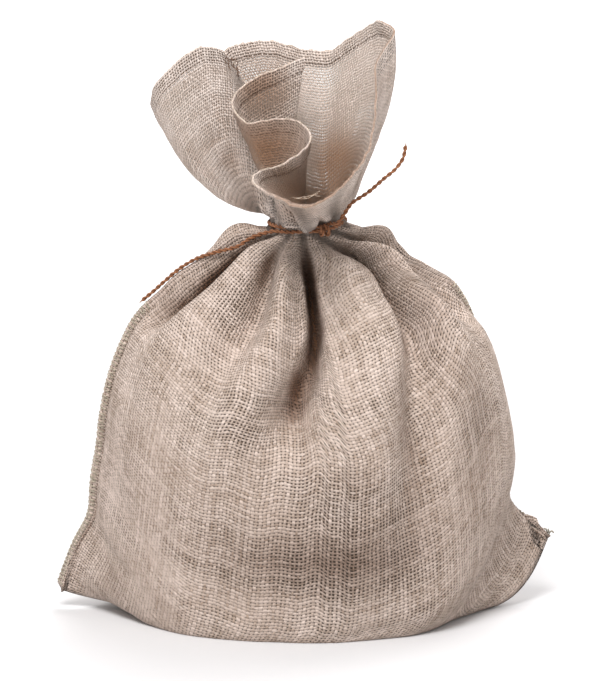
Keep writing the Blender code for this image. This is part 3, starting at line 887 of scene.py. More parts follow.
def warp_counts(grid, rises, pitch, warps):
    """Warp thread number at each point, from 0 at the left seam, for both sides."""
    closed = np.concatenate([grid, grid[:, :1]], axis=1)
    steps = np.linalg.norm(np.diff(closed, axis=1), axis=2)
    widths = np.append(places, 1.0)[1:] - places
    share = valley_share(rises, steps.sum(axis=1)) * widths
    counts = np.zeros((len(grid), len(places) + 1))
    for start, end in ((0, HALF), (HALF, len(places))):
        length = steps[:, start:end]
        total = length.sum(axis=1, keepdims=True)
        hidden = warps - total / pitch
        spare = share[:, start:end] / share[:, start:end].sum(axis=1, keepdims=True)
        spread = length / total
        each = np.where(hidden > 0, length / pitch + hidden * spare, warps * spread)
        counts[:, start + 1:end + 1] = counts[:, start:start + 1] + np.cumsum(each, axis=1)
    return counts


def weft_counts():
    """Weft thread number at each point, for the body and for the mouth."""
    length = lengths_along(body_grid)
    body = NECK_WEFT * length / length[-1]
    whole = from_rim[0]
    gain = (RIM_WEFT - NECK_WEFT) * MOUTH_PITCH / whole - 1
    mouth = RIM_WEFT - from_rim / MOUTH_PITCH * (1 + gain * (from_rim / whole) ** 2)
    return body, mouth


rim_length = np.linalg.norm(np.roll(mouth_grid[-1], -1, axis=0) - mouth_grid[-1], axis=1).sum()
mouth_warps = round(rim_length / 2 / MOUTH_PITCH)
body_warp = warp_counts(body_grid, BODY_ROWS, PITCH, WARPS)
mouth_warp = warp_counts(mouth_grid, np.ones(len(MOUTH_ROWS)), MOUTH_PITCH, mouth_warps)
body_weft, mouth_weft = weft_counts()
tightest = (np.diff(body_warp[60], axis=0).max()).round(2)
print("warps", body_warp[-1, -1].round(1), "edge mm", rim_length.round(), "most per step", tightest)

# %% [markdown]
# Deep in the folds and down in the mouth the cloth gets little light, so the
# finish paints shade there.  How deep a place lies is measured once: rays go out
# from it, and the share that meet other cloth is kept with the point, so the
# finish can darken it by that share.

# %% How deep each point lies in the folds
RAY_COUNT = 72
RAY_REACH = 110.0                # mm


def ray_ways():
    """Directions spread evenly over a ball, and how much light comes from each."""
    n = np.arange(RAY_COUNT) + 0.5
    z = 1 - 2 * n / RAY_COUNT
    turn = math.pi * (1 + math.sqrt(5)) * n
    flat = np.sqrt(1 - z * z)
    ways = np.stack([flat * np.cos(turn), flat * np.sin(turn), z], axis=-1)
    return ways, 0.35 + 0.65 * np.clip(z + 0.3, 0, 1)


def cloth_tree():
    """The cloth's outside and lining as one search tree."""
    points, faces = [], []
    for grid in (body_grid, mouth_grid, lining_grid):
        coarse = grid[::2, ::4]
        faces += ring_quads(*coarse.shape[:2], len(points))
        points += coarse.reshape(-1, 3).tolist()
    return bvhtree.BVHTree.FromPolygons(points, faces)


def depth_in_folds(tree, grid, inward=1):
    """Share of the light that other cloth keeps from each point of a grid."""
    ways, light = ray_ways()
    coarse, facing = grid[::2, ::2], outward(grid)[::2, ::2] * inward
    depth = np.zeros(coarse.shape[:2])
    for i in range(coarse.shape[0]):
        for j in range(coarse.shape[1]):
            lean = ways @ facing[i, j]
            use = np.flatnonzero(lean > 0.08)
            start = Vector(coarse[i, j] + facing[i, j] * 1.2)
            weight = lean[use] * light[use]
            hits = [tree.ray_cast(start, Vector(ways[n]), RAY_REACH)[0] is not None for n in use]
            depth[i, j] = weight[hits].sum() / weight.sum()
    for _ in range(2):
        depth = 0.5 * depth + 0.25 * (np.roll(depth, 1, axis=1) + np.roll(depth, -1, axis=1))
        inside = np.pad(depth, ((1, 1), (0, 0)), mode="edge")
        depth = 0.5 * depth + 0.25 * (inside[:-2] + inside[2:])
    rows = np.arange(0, grid.shape[0], 2)
    columns = np.arange(0, grid.shape[1], 2)
    tall = np.stack([np.interp(np.arange(grid.shape[0]), rows, line) for line in depth.T], axis=1)
    wide = [np.interp(np.arange(grid.shape[1]), columns, line, period=grid.shape[1]) for line in tall]
    return np.stack(wide)


tree = cloth_tree()
body_depth = depth_in_folds(tree, body_grid)
mouth_depth = depth_in_folds(tree, mouth_grid)
lining_depth = depth_in_folds(tree, lining_grid, -1)
print("deepest fold", body_depth.max().round(2), "mouth inside", lining_depth.mean().round(2))

# %% [markdown]
# Real sacking isn't even.  Where it's pulled over the filling its threads part
# and the holes show dark; in the slack folds they close up.  Each soft bell in
# this table opens the weave round one place, given as a share of the way round
# the sack and of the way up it, so the finish has one plain number to follow.

# %% How open the weave is
GAPS = """
name         place rise wide tall amount
front_middle .262  .5   .075 .09  1
front_low    .25   .39  .11  .08  1
front_foot   .27   .3   .12  .03  .7
valley_foot  .165  .64  .03  .09  .95
left_flank   .12   .83  .035 .09  1
finger_side  .19   .79  .012 .06  .8
right_flank  .335  .6   .03  .08  .8
hollow       .028  .87  .012 .05  1
back_middle  .74   .42  .08  .16  .9
"""

# %% [markdown]
# A second table of bells paints shade onto patches that light hardly reaches:
# under the shoulder's crest and the lip, in the troughs, low on the front and on
# the ear.  A third corrects the measured depth of the folds, which sets their
# painted shade, where that shade came out too dark or too light.

# %% Painted shade where the cloth is turned from the light
PAINTED_SHADE_TABLE = """
name         place rise wide tall amount
front_low    .25   .41  .095 .07  .7
front_streak .245  .4   .06  .018 .25
lip_shade    .262  .545 .028 .022 .3
trough_low   .318  .56  .012 .11  .45
right_low    .42   .2   .06  .09  .12
left_foot    .06   .15  .05  .08  .15
hollow       .03   .86  .02  .09  .85
hollow_foot  .022  .745 .016 .03  .6
right_hollow .48   .86  .022 .07  .45
right_turn   .39   .523 .03  .12  .35
right_up     .409  .793 .03  .06  .35
left_up      .015  .74  .02  .06  .25
ear_front    .464  .09  .02  .06  .3
"""

FOLD_SHADE_TOUCH = """
name         place rise wide tall amount
hollow       .029  .858 .017 .06  .42
hollow_foot  .021  .77  .013 .03  .32
right_hollow .48   .86  .02  .06  .15
finger_right .207  .887 .013 .06  -.26
finger_left  .145  .873 .012 .06  -.12
valley_low   .213  .72  .011 .055 .26
valley_end   .207  .65  .011 .03  .14
finger_foot  .092  .91  .012 .035 .2
trough       .355  .77  .013 .06  .22
"""


for amount, bell in bells(FOLD_SHADE_TOUCH, BODY_ROWS, closed=False):
    body_depth = body_depth + amount * bell
ear_limit = 0.40 + 0.6 * ease((BODY_ROWS - 0.10) / 0.10)
body_depth = np.clip(np.minimum(body_depth, ear_limit[:, None]), 0, 0.95)
body_gaps, body_painted_shade = np.full(body_depth.shape, 0.42), np.zeros(body_depth.shape)
for amount, bell in bells(GAPS, BODY_ROWS, closed=False):
    body_gaps = np.maximum(body_gaps, amount * bell)
# Painted shade on the patches of the table, where light hardly reaches.
for amount, bell in bells(PAINTED_SHADE_TABLE, BODY_ROWS, closed=False):
    body_painted_shade = 1 - (1 - body_painted_shade) * (1 - amount * bell)
print("open share", body_gaps.mean().round(2), "darkest", body_painted_shade.max().round(2))

# %% [markdown]
# The free mouth has its own tables.  Near its edge the weave is stretched so
# wide that light comes through.  On the inner side, in the roll at the front and
# down by the tie, where little light gets in, brown shade is painted on, and on
# the outside under the pocket and the lobe too.  Edge rows get painted shade too,
# most along the cone, so the edge isn't one bright line all the way round.

# %% The mouth's painted shade and open patches
PATCHES = """
name        place rise wide tall amount
lobe_window .917  .86  .03  .12  1
edge_left   .765  .8   .035 .25  1
roll        .08   .78  .05  .25  1
edge_mid    .69   .82  .03  .15  1
cone_side   .59   .7   .02  .2   .8
"""

MOUTH_PAINTED_SPOTS = """
name       side x   level wide tall amount
flap       -1   -21 284   17   18   .8
foot_right -1   20  244   17   25   .97
pocket_in  -1   -8  234   14   11   .8
pit        -1   3   227   14   7    .95
pocket_out 1    0   219   12   6    .35
lobe_under 1    -28 225   9    14   .35
"""


def painted_spots(grid, side):
    """Painted shade of one face of the mouth's cloth, from where its shaded spots lie, mm."""
    table = read_table(MOUTH_PAINTED_SPOTS)
    level = 0.97 * grid[..., 2] + 0.242 * grid[..., 1]
    shade = np.zeros(grid.shape[:2])
    for index in np.flatnonzero(table["side"] == side):
        across = (grid[..., 0] - table["x"][index]) / table["wide"][index]
        up = (level - table["level"][index]) / table["tall"][index]
        bell = np.exp(-((across**2 + up**2) ** 1.5))
        shade = 1 - (1 - shade) * (1 - table["amount"][index] * bell)
    return shade


mouth_gaps = np.full(mouth_grid.shape[:2], 0.50)
for amount, bell in bells(PATCHES, MOUTH_ROWS):
    mouth_gaps = np.maximum(mouth_gaps, amount * bell)
throat = 1 - ease(MOUTH_ROWS / 0.45)
mouth_painted_shade = 1 - (1 - crease_shading) * (1 - painted_spots(mouth_grid, 1))
# Painted shade on the lining, strongest down the throat, and on the mouth's edge rows.
lining_painted_shade = 1 - (1 - painted_spots(lining_grid, -1)) * (1 - 0.50 * throat)[:, None]
on_cone = ease((places - 0.28) / 0.05) * (1 - ease((places - 0.60) / 0.05))
rim_painted_shade = (0.25 + 0.50 * on_cone)[None, :]
# Less painted fold shade on the mouth's outside, and less high up inside it than down its throat.
mouth_depth *= 0.40
lining_depth *= (0.55 + 0.45 * throat)[:, None]
print("mouth open share", mouth_gaps.mean().round(2))

# %% [markdown]
# Now each panel becomes one mesh.  Its rows go up the outside, over the edge, down
# the lining and down a hidden face inside the body, and two side walls close it,
# so it is a closed form with a real thickness.  Thread counts go into a UV map, and the depth, hole
# and shade numbers into point attributes.

# %% The two panels
RIM_ROLL = 2                     # rows that round the edge over


def rounded_edge():
    """Rows over the mouth's edge, from the outside to the lining."""
    up = unit(mouth_grid[-1] - mouth_grid[-3]) * thickness[-1][:, None] * 0.42
    return np.stack([mouth_grid[-1] * (1 - share) + lining_grid[-1] * share + up for share in (0.25, 0.75)])


def stacked(body, mouth, edge, lining, columns):
    """One number for every point of a panel, in the order of its rows."""
    parts = [body, mouth[1:], *[edge] * RIM_ROLL, lining[::-1], body[INNER_ROWS]]
    return np.concatenate([part[:, columns] for part in parts])


open_mouth = ease((from_rim - HEM) / 1.5) * ease(MOUTH_ROWS[:, None] * 5)
# fold_depth and shade carry the painted shade to the finish.
KEPT_VALUES = {
    "open_mouth": (np.zeros_like(body_weft), open_mouth, np.zeros((1, len(places))), open_mouth),
    "fold_depth": (body_depth, mouth_depth, mouth_depth[-1:], lining_depth),
    "gaps": (body_gaps, mouth_gaps, mouth_gaps[-1:], mouth_gaps),
    "shade": (body_painted_shade, mouth_painted_shade, rim_painted_shade, lining_painted_shade),
}


def panel(name, first, last, *materials):
    """One side of the sack as a closed thin shell, with its thread counts and hem mask."""
    pick = np.arange(first, last + 1)
    wrap = pick % len(places)
    blocks = [body_grid, mouth_grid[1:], rounded_edge(), lining_grid[::-1], inner_grid[INNER_ROWS]]
    mouth_rows = len(MOUTH_ROWS) - 1
    points = np.concatenate([block[:, wrap] for block in blocks])
    rows, count = points.shape[:2]
    outside = len(BODY_ROWS) + mouth_rows
    lining_ends = outside + RIM_ROLL + len(MOUTH_ROWS)
    faces, slots = [], []
    for i in range(rows):
        k = (i + 1) % rows
        is_mouth = len(BODY_ROWS) - 1 <= i < lining_ends - 1
        for j in range(count - 1):
            faces.append((i * count + j, i * count + j + 1, k * count + j + 1, k * count + j))
            slots.append(int(is_mouth))
    closing, closing_slots = side_walls(count, lining_ends)
    warp = stacked(body_warp, mouth_warp, mouth_warp[-1:], mouth_warp, pick)
    weft = stacked(body_weft, mouth_weft, mouth_weft[-1:], mouth_weft, wrap)
    threads = np.stack([warp, weft], axis=-1).reshape(-1, 2)
    bake = bake_map(rows, count, outside, lining_ends)
    side = mesh_object(name, points.reshape(-1, 3), faces + closing, *materials,
                       threads=threads, OFBake=bake)
    for title, values in KEPT_VALUES.items():
        mask = side.data.attributes.new(title, "FLOAT", "POINT")
        mask.data.foreach_set("value", stacked(*values, wrap).ravel().astype(np.float32))
    side.data.polygons.foreach_set("material_index", np.array(slots + closing_slots, np.int32))
    return side


def side_walls(count, lining_ends):
    """Faces that close the shell along both seams, from the outside rows to the inside ones."""
    faces, slots = [], []
    body_rows = len(BODY_ROWS)
    mouth_rows = len(MOUTH_ROWS)
    for column, turn in ((0, 1), (count - 1, -1)):
        for i in range(mouth_rows - 1):
            low, high = body_rows - 1 + i, body_rows + i
            back_low, back_high = lining_ends - 1 - i, lining_ends - 2 - i
            faces.append([n * count + column for n in (low, high, back_high, back_low)][::turn])
            slots.append(1)
        top = body_rows + mouth_rows - 2
        faces.append([n * count + column for n in (top, top + 1, top + 2, top + 3)][::turn])
        slots.append(1)
        stops = [body_rows - 1, *INNER_ROWS, 0]
        for n, (upper, lower) in enumerate(zip(stops, stops[1:])):
            near = list(range(lower, upper + 1))
            inside = lining_ends + n - 1
            far = [inside] if n == len(INNER_ROWS) else [inside, inside + 1]
            faces.append([m * count + column for m in near + far][::turn])
            slots.append(0)
    return faces, slots


def bake_map(rows, count, outside, lining_ends):
    """A square map for the finish: outside and mouth large, the hidden inside a thin strip."""
    body_rows = len(BODY_ROWS)
    known = [0, body_rows - 1, outside, lining_ends, rows - 1]
    height = np.interp(np.arange(rows), known, [0.01, 0.60, 0.79, 0.98, 0.995])
    across = np.linspace(0.01, 0.99, count)
    return np.stack(np.broadcast_arrays(across[None, :], height[:, None]), axis=-1).reshape(-1, 2)

# %% [markdown]
# Shader maths reads best as plain expressions.  This small class wraps one
# socket of a material, so adding two wrapped sockets adds a Math node, and one
# method makes any other node from its type, its settings and its inputs.

# %% A wire for shader maths
class Wire:
    """An output socket that can be used in sums."""

    def __init__(self, tree, socket):
        self.tree, self.socket = tree, socket

    def node(self, kind, settings=(), inputs=(), output=0):
        """A node of this kind; settings are set first, then its inputs are set or linked."""
        made = self.tree.nodes.new(kind)
        for name, value in dict(settings).items():
            setattr(made, name, value)
        for name, value in dict(inputs).items():
            if isinstance(value, Wire):
                self.tree.links.new(value.socket, made.inputs[name])
            else:
                made.inputs[name].default_value = value
        return Wire(self.tree, made.outputs[output])

    def maths(self, operation, *values):
        inputs = dict(enumerate((self, *values)))
        return self.node("ShaderNodeMath", {"operation": operation}, inputs)

    def __add__(self, other):
        return self.maths("ADD", other)

    def __sub__(self, other):
        return self.maths("SUBTRACT", other)

    def __rsub__(self, other):
        return (self * -1) + other

    def __mul__(self, other):
        return self.maths("MULTIPLY", other)

    def __truediv__(self, other):
        return self.maths("DIVIDE", other)

    def floor(self):
        return self.maths("FLOOR")

    def fract(self):
        return self.maths("FRACT")

    def between(self, low, high):
        """0 below low, 1 above high and a smooth step between."""
        settings = {"interpolation_type": "SMOOTHSTEP"}
        return self.node("ShaderNodeMapRange", settings,
                         {"Value": self, "From Min": low, "From Max": high})

    def clamp(self):
        return self.node("ShaderNodeClamp", {}, {"Value": self})


def split(vector):
    """The three numbers of a vector."""
    first = vector.node("ShaderNodeSeparateXYZ", {}, {0: vector})
    outputs = first.socket.node.outputs
    return [Wire(vector.tree, outputs[n]) for n in range(3)]


def join(x, y, z):
    maker = next(value for value in (x, y, z) if isinstance(value, Wire))
    return maker.node("ShaderNodeCombineXYZ", {}, {0: x, 1: y, 2: z})


def blend(amount, first, second, mode="MIX"):
    """Two colours mixed by an amount."""
    maker = next(value for value in (amount, first, second) if isinstance(value, Wire))
    settings = {"data_type": "RGBA", "blend_type": mode}
    colours = [value if isinstance(value, Wire) else (*value, 1) for value in (first, second)]
    return maker.node("ShaderNodeMix", settings, {0: amount, 6: colours[0], 7: colours[1]}, output=2)


def speckle(vector, scale, detail=2.0, roughness=0.5):
    """Soft noise from 0 to 1."""
    inputs = {"Vector": vector, "Scale": scale, "Detail": detail, "Roughness": roughness}
    return vector.node("ShaderNodeTexNoise", {}, inputs)


def dice(vector):
    """An even random number for each whole-numbered place."""
    return vector.node("ShaderNodeTexWhiteNoise", {"noise_dimensions": "2D"}, {"Vector": vector})


def start_material(name, **settings):
    """A new material with its shader, whose inputs are set by name."""
    material = bpy.data.materials.new(name)
    material.use_nodes = True
    tree = material.node_tree
    shader = tree.nodes["Principled BSDF"]
    for title, value in settings.items():
        shader.inputs[title.replace("_", " ")].default_value = value
    return material, tree, shader


def colour_and_bump(shader, tone, height=None, strength=1.0, distance=0.0):
    """The shader's colour, and its bumps from a height, at most a distance in metres."""
    tone.tree.links.new(tone.socket, shader.inputs["Base Color"])
    if height is not None:
        inputs = {"Strength": strength, "Distance": distance, "Height": height}
        bump = height.node("ShaderNodeBump", {}, inputs)
        bump.tree.links.new(bump.socket, shader.inputs["Normal"])


def own_place(tree):
    """Each point's place on its object, in metres."""
    return Wire(tree, tree.nodes.new("ShaderNodeTexCoord").outputs["Object"])


def thread_place(tree):
    """Each point's thread counts."""
    count = tree.nodes.new("ShaderNodeUVMap")
    count.uv_map = "threads"
    return Wire(tree, count.outputs[0])


print("shader maths ready")

# %% [markdown]
# Sacking is a plain weave of thick uneven yarns: each warp goes over one weft
# and under the next, and small holes are left between them.  A yarn is round,
# slubby and its own shade, and its fibres run along it.  The thread counts give
# the place in the weave, so the pattern bends with the cloth.

# %% Burlap
def kept(tree, name):
    """A number kept with each point of the cloth."""
    reader = tree.nodes.new("ShaderNodeAttribute")
    reader.attribute_name = name
    return Wire(tree, reader.outputs["Fac"])


def weave(threads, gaps, thin):
    """Height, hole mask, shade of each yarn and fibre streaks of a plain weave."""
    warp, weft, _ = split(threads)
    sway = threads.node("ShaderNodeTexNoise", {}, {"Vector": threads, "Scale": 0.28, "Detail": 3.0}, 1)
    sway_x, sway_y, _ = split(sway)
    warp = warp + (sway_x - 0.5) * 0.75
    weft = weft + (sway_y - 0.5) * 0.75
    yarns = []
    for mine, other, sign, seed in ((warp, weft, 1, 0.0), (weft, warp, -1, 31.0)):
        number = mine.floor()
        pick = dice(join(number, seed, 0))
        slub = speckle(join(number * 7.3 + seed, other * 0.3, seed), 1.0, 2.0)
        half = 0.455 - gaps * thin + (pick - 0.5) * 0.10 + (slub - 0.5) * 0.34
        away = (mine.fract() - 0.5).maths("ABSOLUTE") / half
        round_top = (1 - away * away).maths("MAXIMUM", 0.0).maths("SQRT")
        over = ((other - 0.5) * math.pi + number * math.pi).maths("COSINE") * sign
        covers = 1 - away.between(0.90, 1.06)
        level = round_top * 0.55 + over * 0.42
        shade = pick * 0.25 + slub * 0.75
        streaks = speckle(join(mine * 7.0, other * 1.1, seed), 1.0, 3.0, 0.7)
        yarns.append((covers, level, shade, streaks))
    (warp_on, warp_level, warp_shade, warp_streaks) = yarns[0]
    (weft_on, weft_level, weft_shade, weft_streaks) = yarns[1]
    warp_height = warp_on * (warp_level + 1.2)
    weft_height = weft_on * (weft_level + 1.2)
    height = warp_height.maths("MAXIMUM", weft_height)
    warp_shows = (warp_height - weft_height).between(-0.08, 0.08)
    hole = 1 - warp_on.maths("MAXIMUM", weft_on)
    shade = warp_shows * warp_shade + (1 - warp_shows) * weft_shade
    streaks = warp_shows * warp_streaks + (1 - warp_shows) * weft_streaks
    return height, hole, shade, streaks


YARN_PALE = (0.745, 0.610, 0.535)
YARN_DARK = (0.335, 0.230, 0.160)
# The mouth's colours are painted paler than the body's, as painted light for the light that comes through
# its single thin layer.
MOUTH_LIT_PALE = (0.98, 0.85, 0.775)
MOUTH_LIT_DARK = (0.62, 0.470, 0.385)
PAINTED_GAP_SHADE = (0.060, 0.038, 0.024)
PAINTED_DEEP_SHADE = (0.095, 0.045, 0.020)
PAINTED_FOLD_SHADE = (0.37, 0.220, 0.130)
PAINTED_PATCH_SHADE = (0.33, 0.26, 0.215)
PAINTED_MOUTH_SHADE = (0.33, 0.180, 0.090)


def burlap(name, see_through, pale, dark, shaded):
    """Woven jute; the free mouth lets light through its holes and its threads."""
    material, tree, shader = start_material(name, Roughness=0.95, Specular_IOR_Level=0.15,
                                            Sheen_Weight=0.10, Sheen_Roughness=0.6)
    place, threads = own_place(tree), thread_place(tree)
    patches = speckle(place, 16.0, 3.0)
    warp, weft, _ = split(threads)
    rows = speckle(join(warp * 0.012, weft * 0.16, 4.0), 1.0, 2.0)
    columns = speckle(join(warp * 0.13, weft * 0.010, 8.0), 1.0, 2.0)
    uneven = (patches - 0.5) * 0.8 + (rows - 0.5) * 1.3 + (columns - 0.5) * 0.8
    gaps = (kept(tree, "gaps") + uneven).clamp()
    height, hole, shade, streaks = weave(threads, gaps, 0.25 if see_through else 0.165)
    worn = speckle(place, 45.0, 4.0, 0.65)
    # The mouth's tone is lifted as painted light; between the yarns both get painted shade.
    paler, between_yarns_shade = (0.72, 0.48) if see_through else (0.61, 0.66)
    tone = (shade - 0.5) * 1.5 + (streaks - 0.5) * 1.3 + (worn - 0.5) * 0.9 + paler
    tone = blend(tone.clamp(), dark, pale)
    # Painted shade low between the yarns and in the holes, where the dark inside of the sack shows through.
    depth = (height * 0.55).between(0.42, 0.93)
    tone = blend((1 - depth) * between_yarns_shade, tone, PAINTED_GAP_SHADE)
    tone = blend(hole * 0.97, tone, PAINTED_GAP_SHADE)
    # Painted shade in the folds: the deeper a point lies, the more its colour is darkened towards brown,
    # and deeper still towards near black.
    fold = kept(tree, "fold_depth")
    tone = blend(fold.between(0.50, 0.90), tone, blend(1.0, tone, PAINTED_FOLD_SHADE, "MULTIPLY"))
    tone = blend(fold.between(0.60, 0.95) * 0.6, tone, PAINTED_DEEP_SHADE)
    # Painted shade wherever the kept shade number marks it, from the patch and mouth tables.
    tone = blend(kept(tree, "shade").clamp(), tone, blend(1.0, tone, shaded, "MULTIPLY"))
    colour_and_bump(shader, tone, height + streaks * 0.25, 1.0, 0.0011)
    if see_through:
        solid = 1 - hole * kept(tree, "open_mouth") * 0.9
        tree.links.new(solid.socket, shader.inputs["Alpha"])
        glow = tree.nodes.new("ShaderNodeBsdfTranslucent")
        glow.inputs["Color"].default_value = (0.84, 0.75, 0.655, 1)
        mix = tree.nodes.new("ShaderNodeMixShader")
        mix.inputs[0].default_value = 0.24
        tree.links.new(shader.outputs[0], mix.inputs[1])
        tree.links.new(glow.outputs[0], mix.inputs[2])
        tree.links.new(mix.outputs[0], tree.nodes["Material Output"].inputs["Surface"])
    print(name, len(tree.nodes), "nodes")
    return material


cloth_body = burlap("burlap_body", False, YARN_PALE, YARN_DARK, PAINTED_PATCH_SHADE)
cloth_mouth = burlap("burlap_mouth", True, MOUTH_LIT_PALE, MOUTH_LIT_DARK, PAINTED_MOUTH_SHADE)
front = panel("cloth_front", 0, HALF, cloth_body, cloth_mouth)
back = panel("cloth_back", HALF, len(places), cloth_body, cloth_mouth)
for side in (front, back):
    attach(side, "root")
    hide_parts("sack_cloth")

# %% [markdown]
# Jute twine is a darker, redder fibre than the sacking.  Its colour runs in fine
# streaks that follow the twist, and painted shade darkens the valley between the plies.

# %% Jute twine
def jute():
    material, tree, shader = start_material("jute_twine", Roughness=0.8, Specular_IOR_Level=0.25,
                                            Sheen_Weight=0.15)
    angle, along, _ = split(thread_place(tree))
    fibres = speckle(join(angle * 26.0 + along * 3.0, along * 0.8, 0.0), 1.0, 4.0, 0.7)
    slow = speckle(join(0.0, along * 0.25, 3.0), 1.0, 2.0)
    mixed = (fibres * 0.7 + slow * 0.3).between(0.3, 0.72)
    tone = blend(mixed, (0.15, 0.050, 0.020), (0.44, 0.19, 0.085))
    # Painted shade in the valley between the two plies.
    lobe = ((angle * 4 * math.pi).maths("COSINE") * 0.5 + 0.5).between(0.0, 0.55)
    tone = blend((1 - lobe) * 0.55, tone, (0.06, 0.022, 0.010))
    colour_and_bump(shader, tone, fibres, 0.7, 0.0003)
    return material


def hair_material(name, low, high):
    """One fibre colour that varies from hair to hair."""
    material, tree, shader = start_material(name, Roughness=0.7)
    colour_and_bump(shader, blend(speckle(own_place(tree), 600.0, 1.0).between(0.35, 0.65), low, high))
    return material


twine.data.materials.append(jute())
hairs.data.materials.append(hair_material("jute_hair", (0.20, 0.085, 0.035), (0.50, 0.27, 0.14)))
print("twine dressed")

# %% [markdown]
# An overlock machine wraps the two cut edges with thick thread.  Each loop here
# goes from the lip's root on one side over its top to the root on the other,
# leaning along the seam, and a second, paler thread leans the other way.  All
# loops of a thread are one joined mesh, as an array of short tubes.

# %% Lines along a seam
WRAP_REACHES = (-4.2, -2.2, 0, 2.2, 4.2)   # mm across the cloth from a seam's top
SEAM_FROM = 1                    # first row of the body that is overlocked
SEAM_ENDS = {0: int(np.searchsorted(BODY_ROWS, 0.72)), HALF: int(np.searchsorted(BODY_ROWS, 0.78))}
LOOP_PITCH = 2.6                 # mm from loop to loop
LOOP_SWELL = 0.22                # how far a loop stands off the seam's top, mm


def along_seam(column, way, reach):
    """Points at one reach across the cloth from a seam's top, one for each row, mm."""
    near = (column + way * np.arange(16)) % len(places)
    return np.array([at_length(lengths_along(line), line, reach) for line in body_grid[:, near]])


def seam_lines(column, first, last):
    """Length along a seam, lines over it from root to root, and the way out of it."""
    length = lengths_along(body_grid[first:last, column])
    lines = {reach: along_seam(column, 1 if reach >= 0 else -1, abs(reach))[first:last]
             for reach in WRAP_REACHES}
    return length, lines, unit(lines[0] - (lines[4.2] + lines[-4.2]) / 2)


# %% Overlock loops
def joined_tubes(paths, radius, sides=6):
    """Many short tubes as one list of points and faces."""
    points, faces = [], []
    for path in paths:
        rings = sweep(path, np.full((len(path), sides), radius), np.zeros(len(path)), (0.3, 1, 0.2))
        faces += tube_faces(len(path), sides, len(points))
        points += rings.reshape(-1, 3).tolist()
    return np.array(points), faces


def overlock(column, lean, start):
    """Paths of one thread's loops over a seam's lip."""
    length, lines, out = seam_lines(column, SEAM_FROM, SEAM_ENDS[column])
    rng = np.random.default_rng(column + int(start * 10))
    paths = []
    for middle in np.arange(start, length[-1] - 3, LOOP_PITCH):
        middle = middle + rng.normal() * 0.30
        path = []
        for reach in WRAP_REACHES:
            where = middle - lean * reach / 4.2
            spot, up = at_length(length, lines[reach], where), at_length(length, out, where)
            if reach == 0:
                spot = spot + up * LOOP_SWELL
            elif abs(reach) == 2.2:
                side = spot - at_length(length, lines[0], where)
                side -= up * (side @ up)
                spot = spot + side * (0.45 / (np.linalg.norm(side) + 1e-6))
            path.append(spot)
        paths.append(smooth(np.linspace(0, 4, 13), np.arange(5.0), path))
    return paths


def thread_material(name, low, high):
    """Spun thread: fine streaks along it and small changes of shade."""
    material, tree, shader = start_material(name, Roughness=0.85, Sheen_Weight=0.1)
    fine = speckle(own_place(tree), 900.0, 2.0, 0.6)
    colour_and_bump(shader, blend(fine.between(0.3, 0.7), low, high), fine, 0.6, 0.0002)
    return material


grey_green = thread_material("overlock_grey_green", (0.24, 0.205, 0.150), (0.46, 0.405, 0.325))
cream = thread_material("overlock_cream", (0.40, 0.325, 0.25), (0.62, 0.53, 0.44))
# Needle thread: its very dark brown is partly painted shade at the lip's foot and along the hem.
brown = thread_material("needle_brown", (0.07, 0.035, 0.02), (0.17, 0.09, 0.05))
for name, lean, start, material, radius in (
    ("overlock_wrap", 1.5, 2.0, grey_green, 0.42),
    ("overlock_return", -0.9, 3.3, cream, 0.30),
):
    paths = []
    for column in (0, HALF):
        paths += overlock(column, lean, start)
    points, faces = joined_tubes(paths, radius)
    loops = mesh_object(name, points, faces, material)
    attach(loops, "root")

# %% [markdown]
# At the foot of the lip the needle thread shows as a dark line of stitches, and
# the same brown thread holds the turned hem round the mouth.  Its very dark brown
# is partly the thread's own colour and partly painted shade, for the shadow at the
# lip's foot and along the hem.  A thread that rises and dips through the cloth
# gives the dots of a real stitched line.

# %% Needle lines at the seams and the hem
SEAM_STITCH = 2.6                # mm
HEM_STITCH = 3.1                 # mm


def dipping(line, facing, stitch, out, depth):
    """A line of stitches: it rides out of the cloth and dips back into it."""
    length = lengths_along(line)
    fine = np.arange(0, length[-1], 0.45)
    spots = at_length(length, line, fine)
    lean = at_length(length, facing, fine)
    wave = np.clip(np.sin(2 * np.pi * fine / stitch) * 1.6 + 0.6, -1, 1)
    return spots + lean * (out + depth * (wave - 1) / 2)[:, None]


needle_paths = []
for column in (0, HALF):
    for way in (1, -1):
        line = along_seam(column, way, 5.6)[SEAM_FROM:SEAM_ENDS[column]]
        near = (column + way * 7) % len(places)
        facing = outward(body_grid)[SEAM_FROM:SEAM_ENDS[column], near]
        needle_paths.append(dipping(line, facing, SEAM_STITCH, 0.18, 0.8))


def round_the_mouth(grid, depth):
    """A closed line on the mouth's wall at one depth below its edge."""
    up = grid[::-1]
    line = [at_length(from_rim[::-1, j], up[:, j], depth) for j in range(len(places))]
    return np.array(line + line[:1])


hem_row = int(np.argmin(np.abs(from_rim.mean(axis=1) - HEM)))
for grid, way, out in ((mouth_grid, 1, 0.0), (lining_grid, -1, 0.1)):
    facing = outward(grid)[hem_row] * way
    facing = np.concatenate([facing, facing[:1]])
    line = round_the_mouth(grid, HEM - 0.4)
    needle_paths.append(dipping(line, facing, HEM_STITCH, out, 0.7))
points, faces = joined_tubes(needle_paths, 0.16, 5)
needle = mesh_object("needle_stitches", points, faces, brown)
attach(needle, "root")

# %% [markdown]
# Where the twine grips, the cloth is packed so tight that nothing goes through.
# The bottom of the mouth is closed there by a puckered disc, deepest in the
# middle, with a top and an underside so it is a closed form too.  It stands for
# the packed cloth, and its dark brown is painted shade for the little light down there.

# %% Packed cloth inside the tie
NECK_PLEATS = 14
NECK_DIP = 5.0                   # mm
NECK_SHARES = np.linspace(1.02, 0.02, 9)


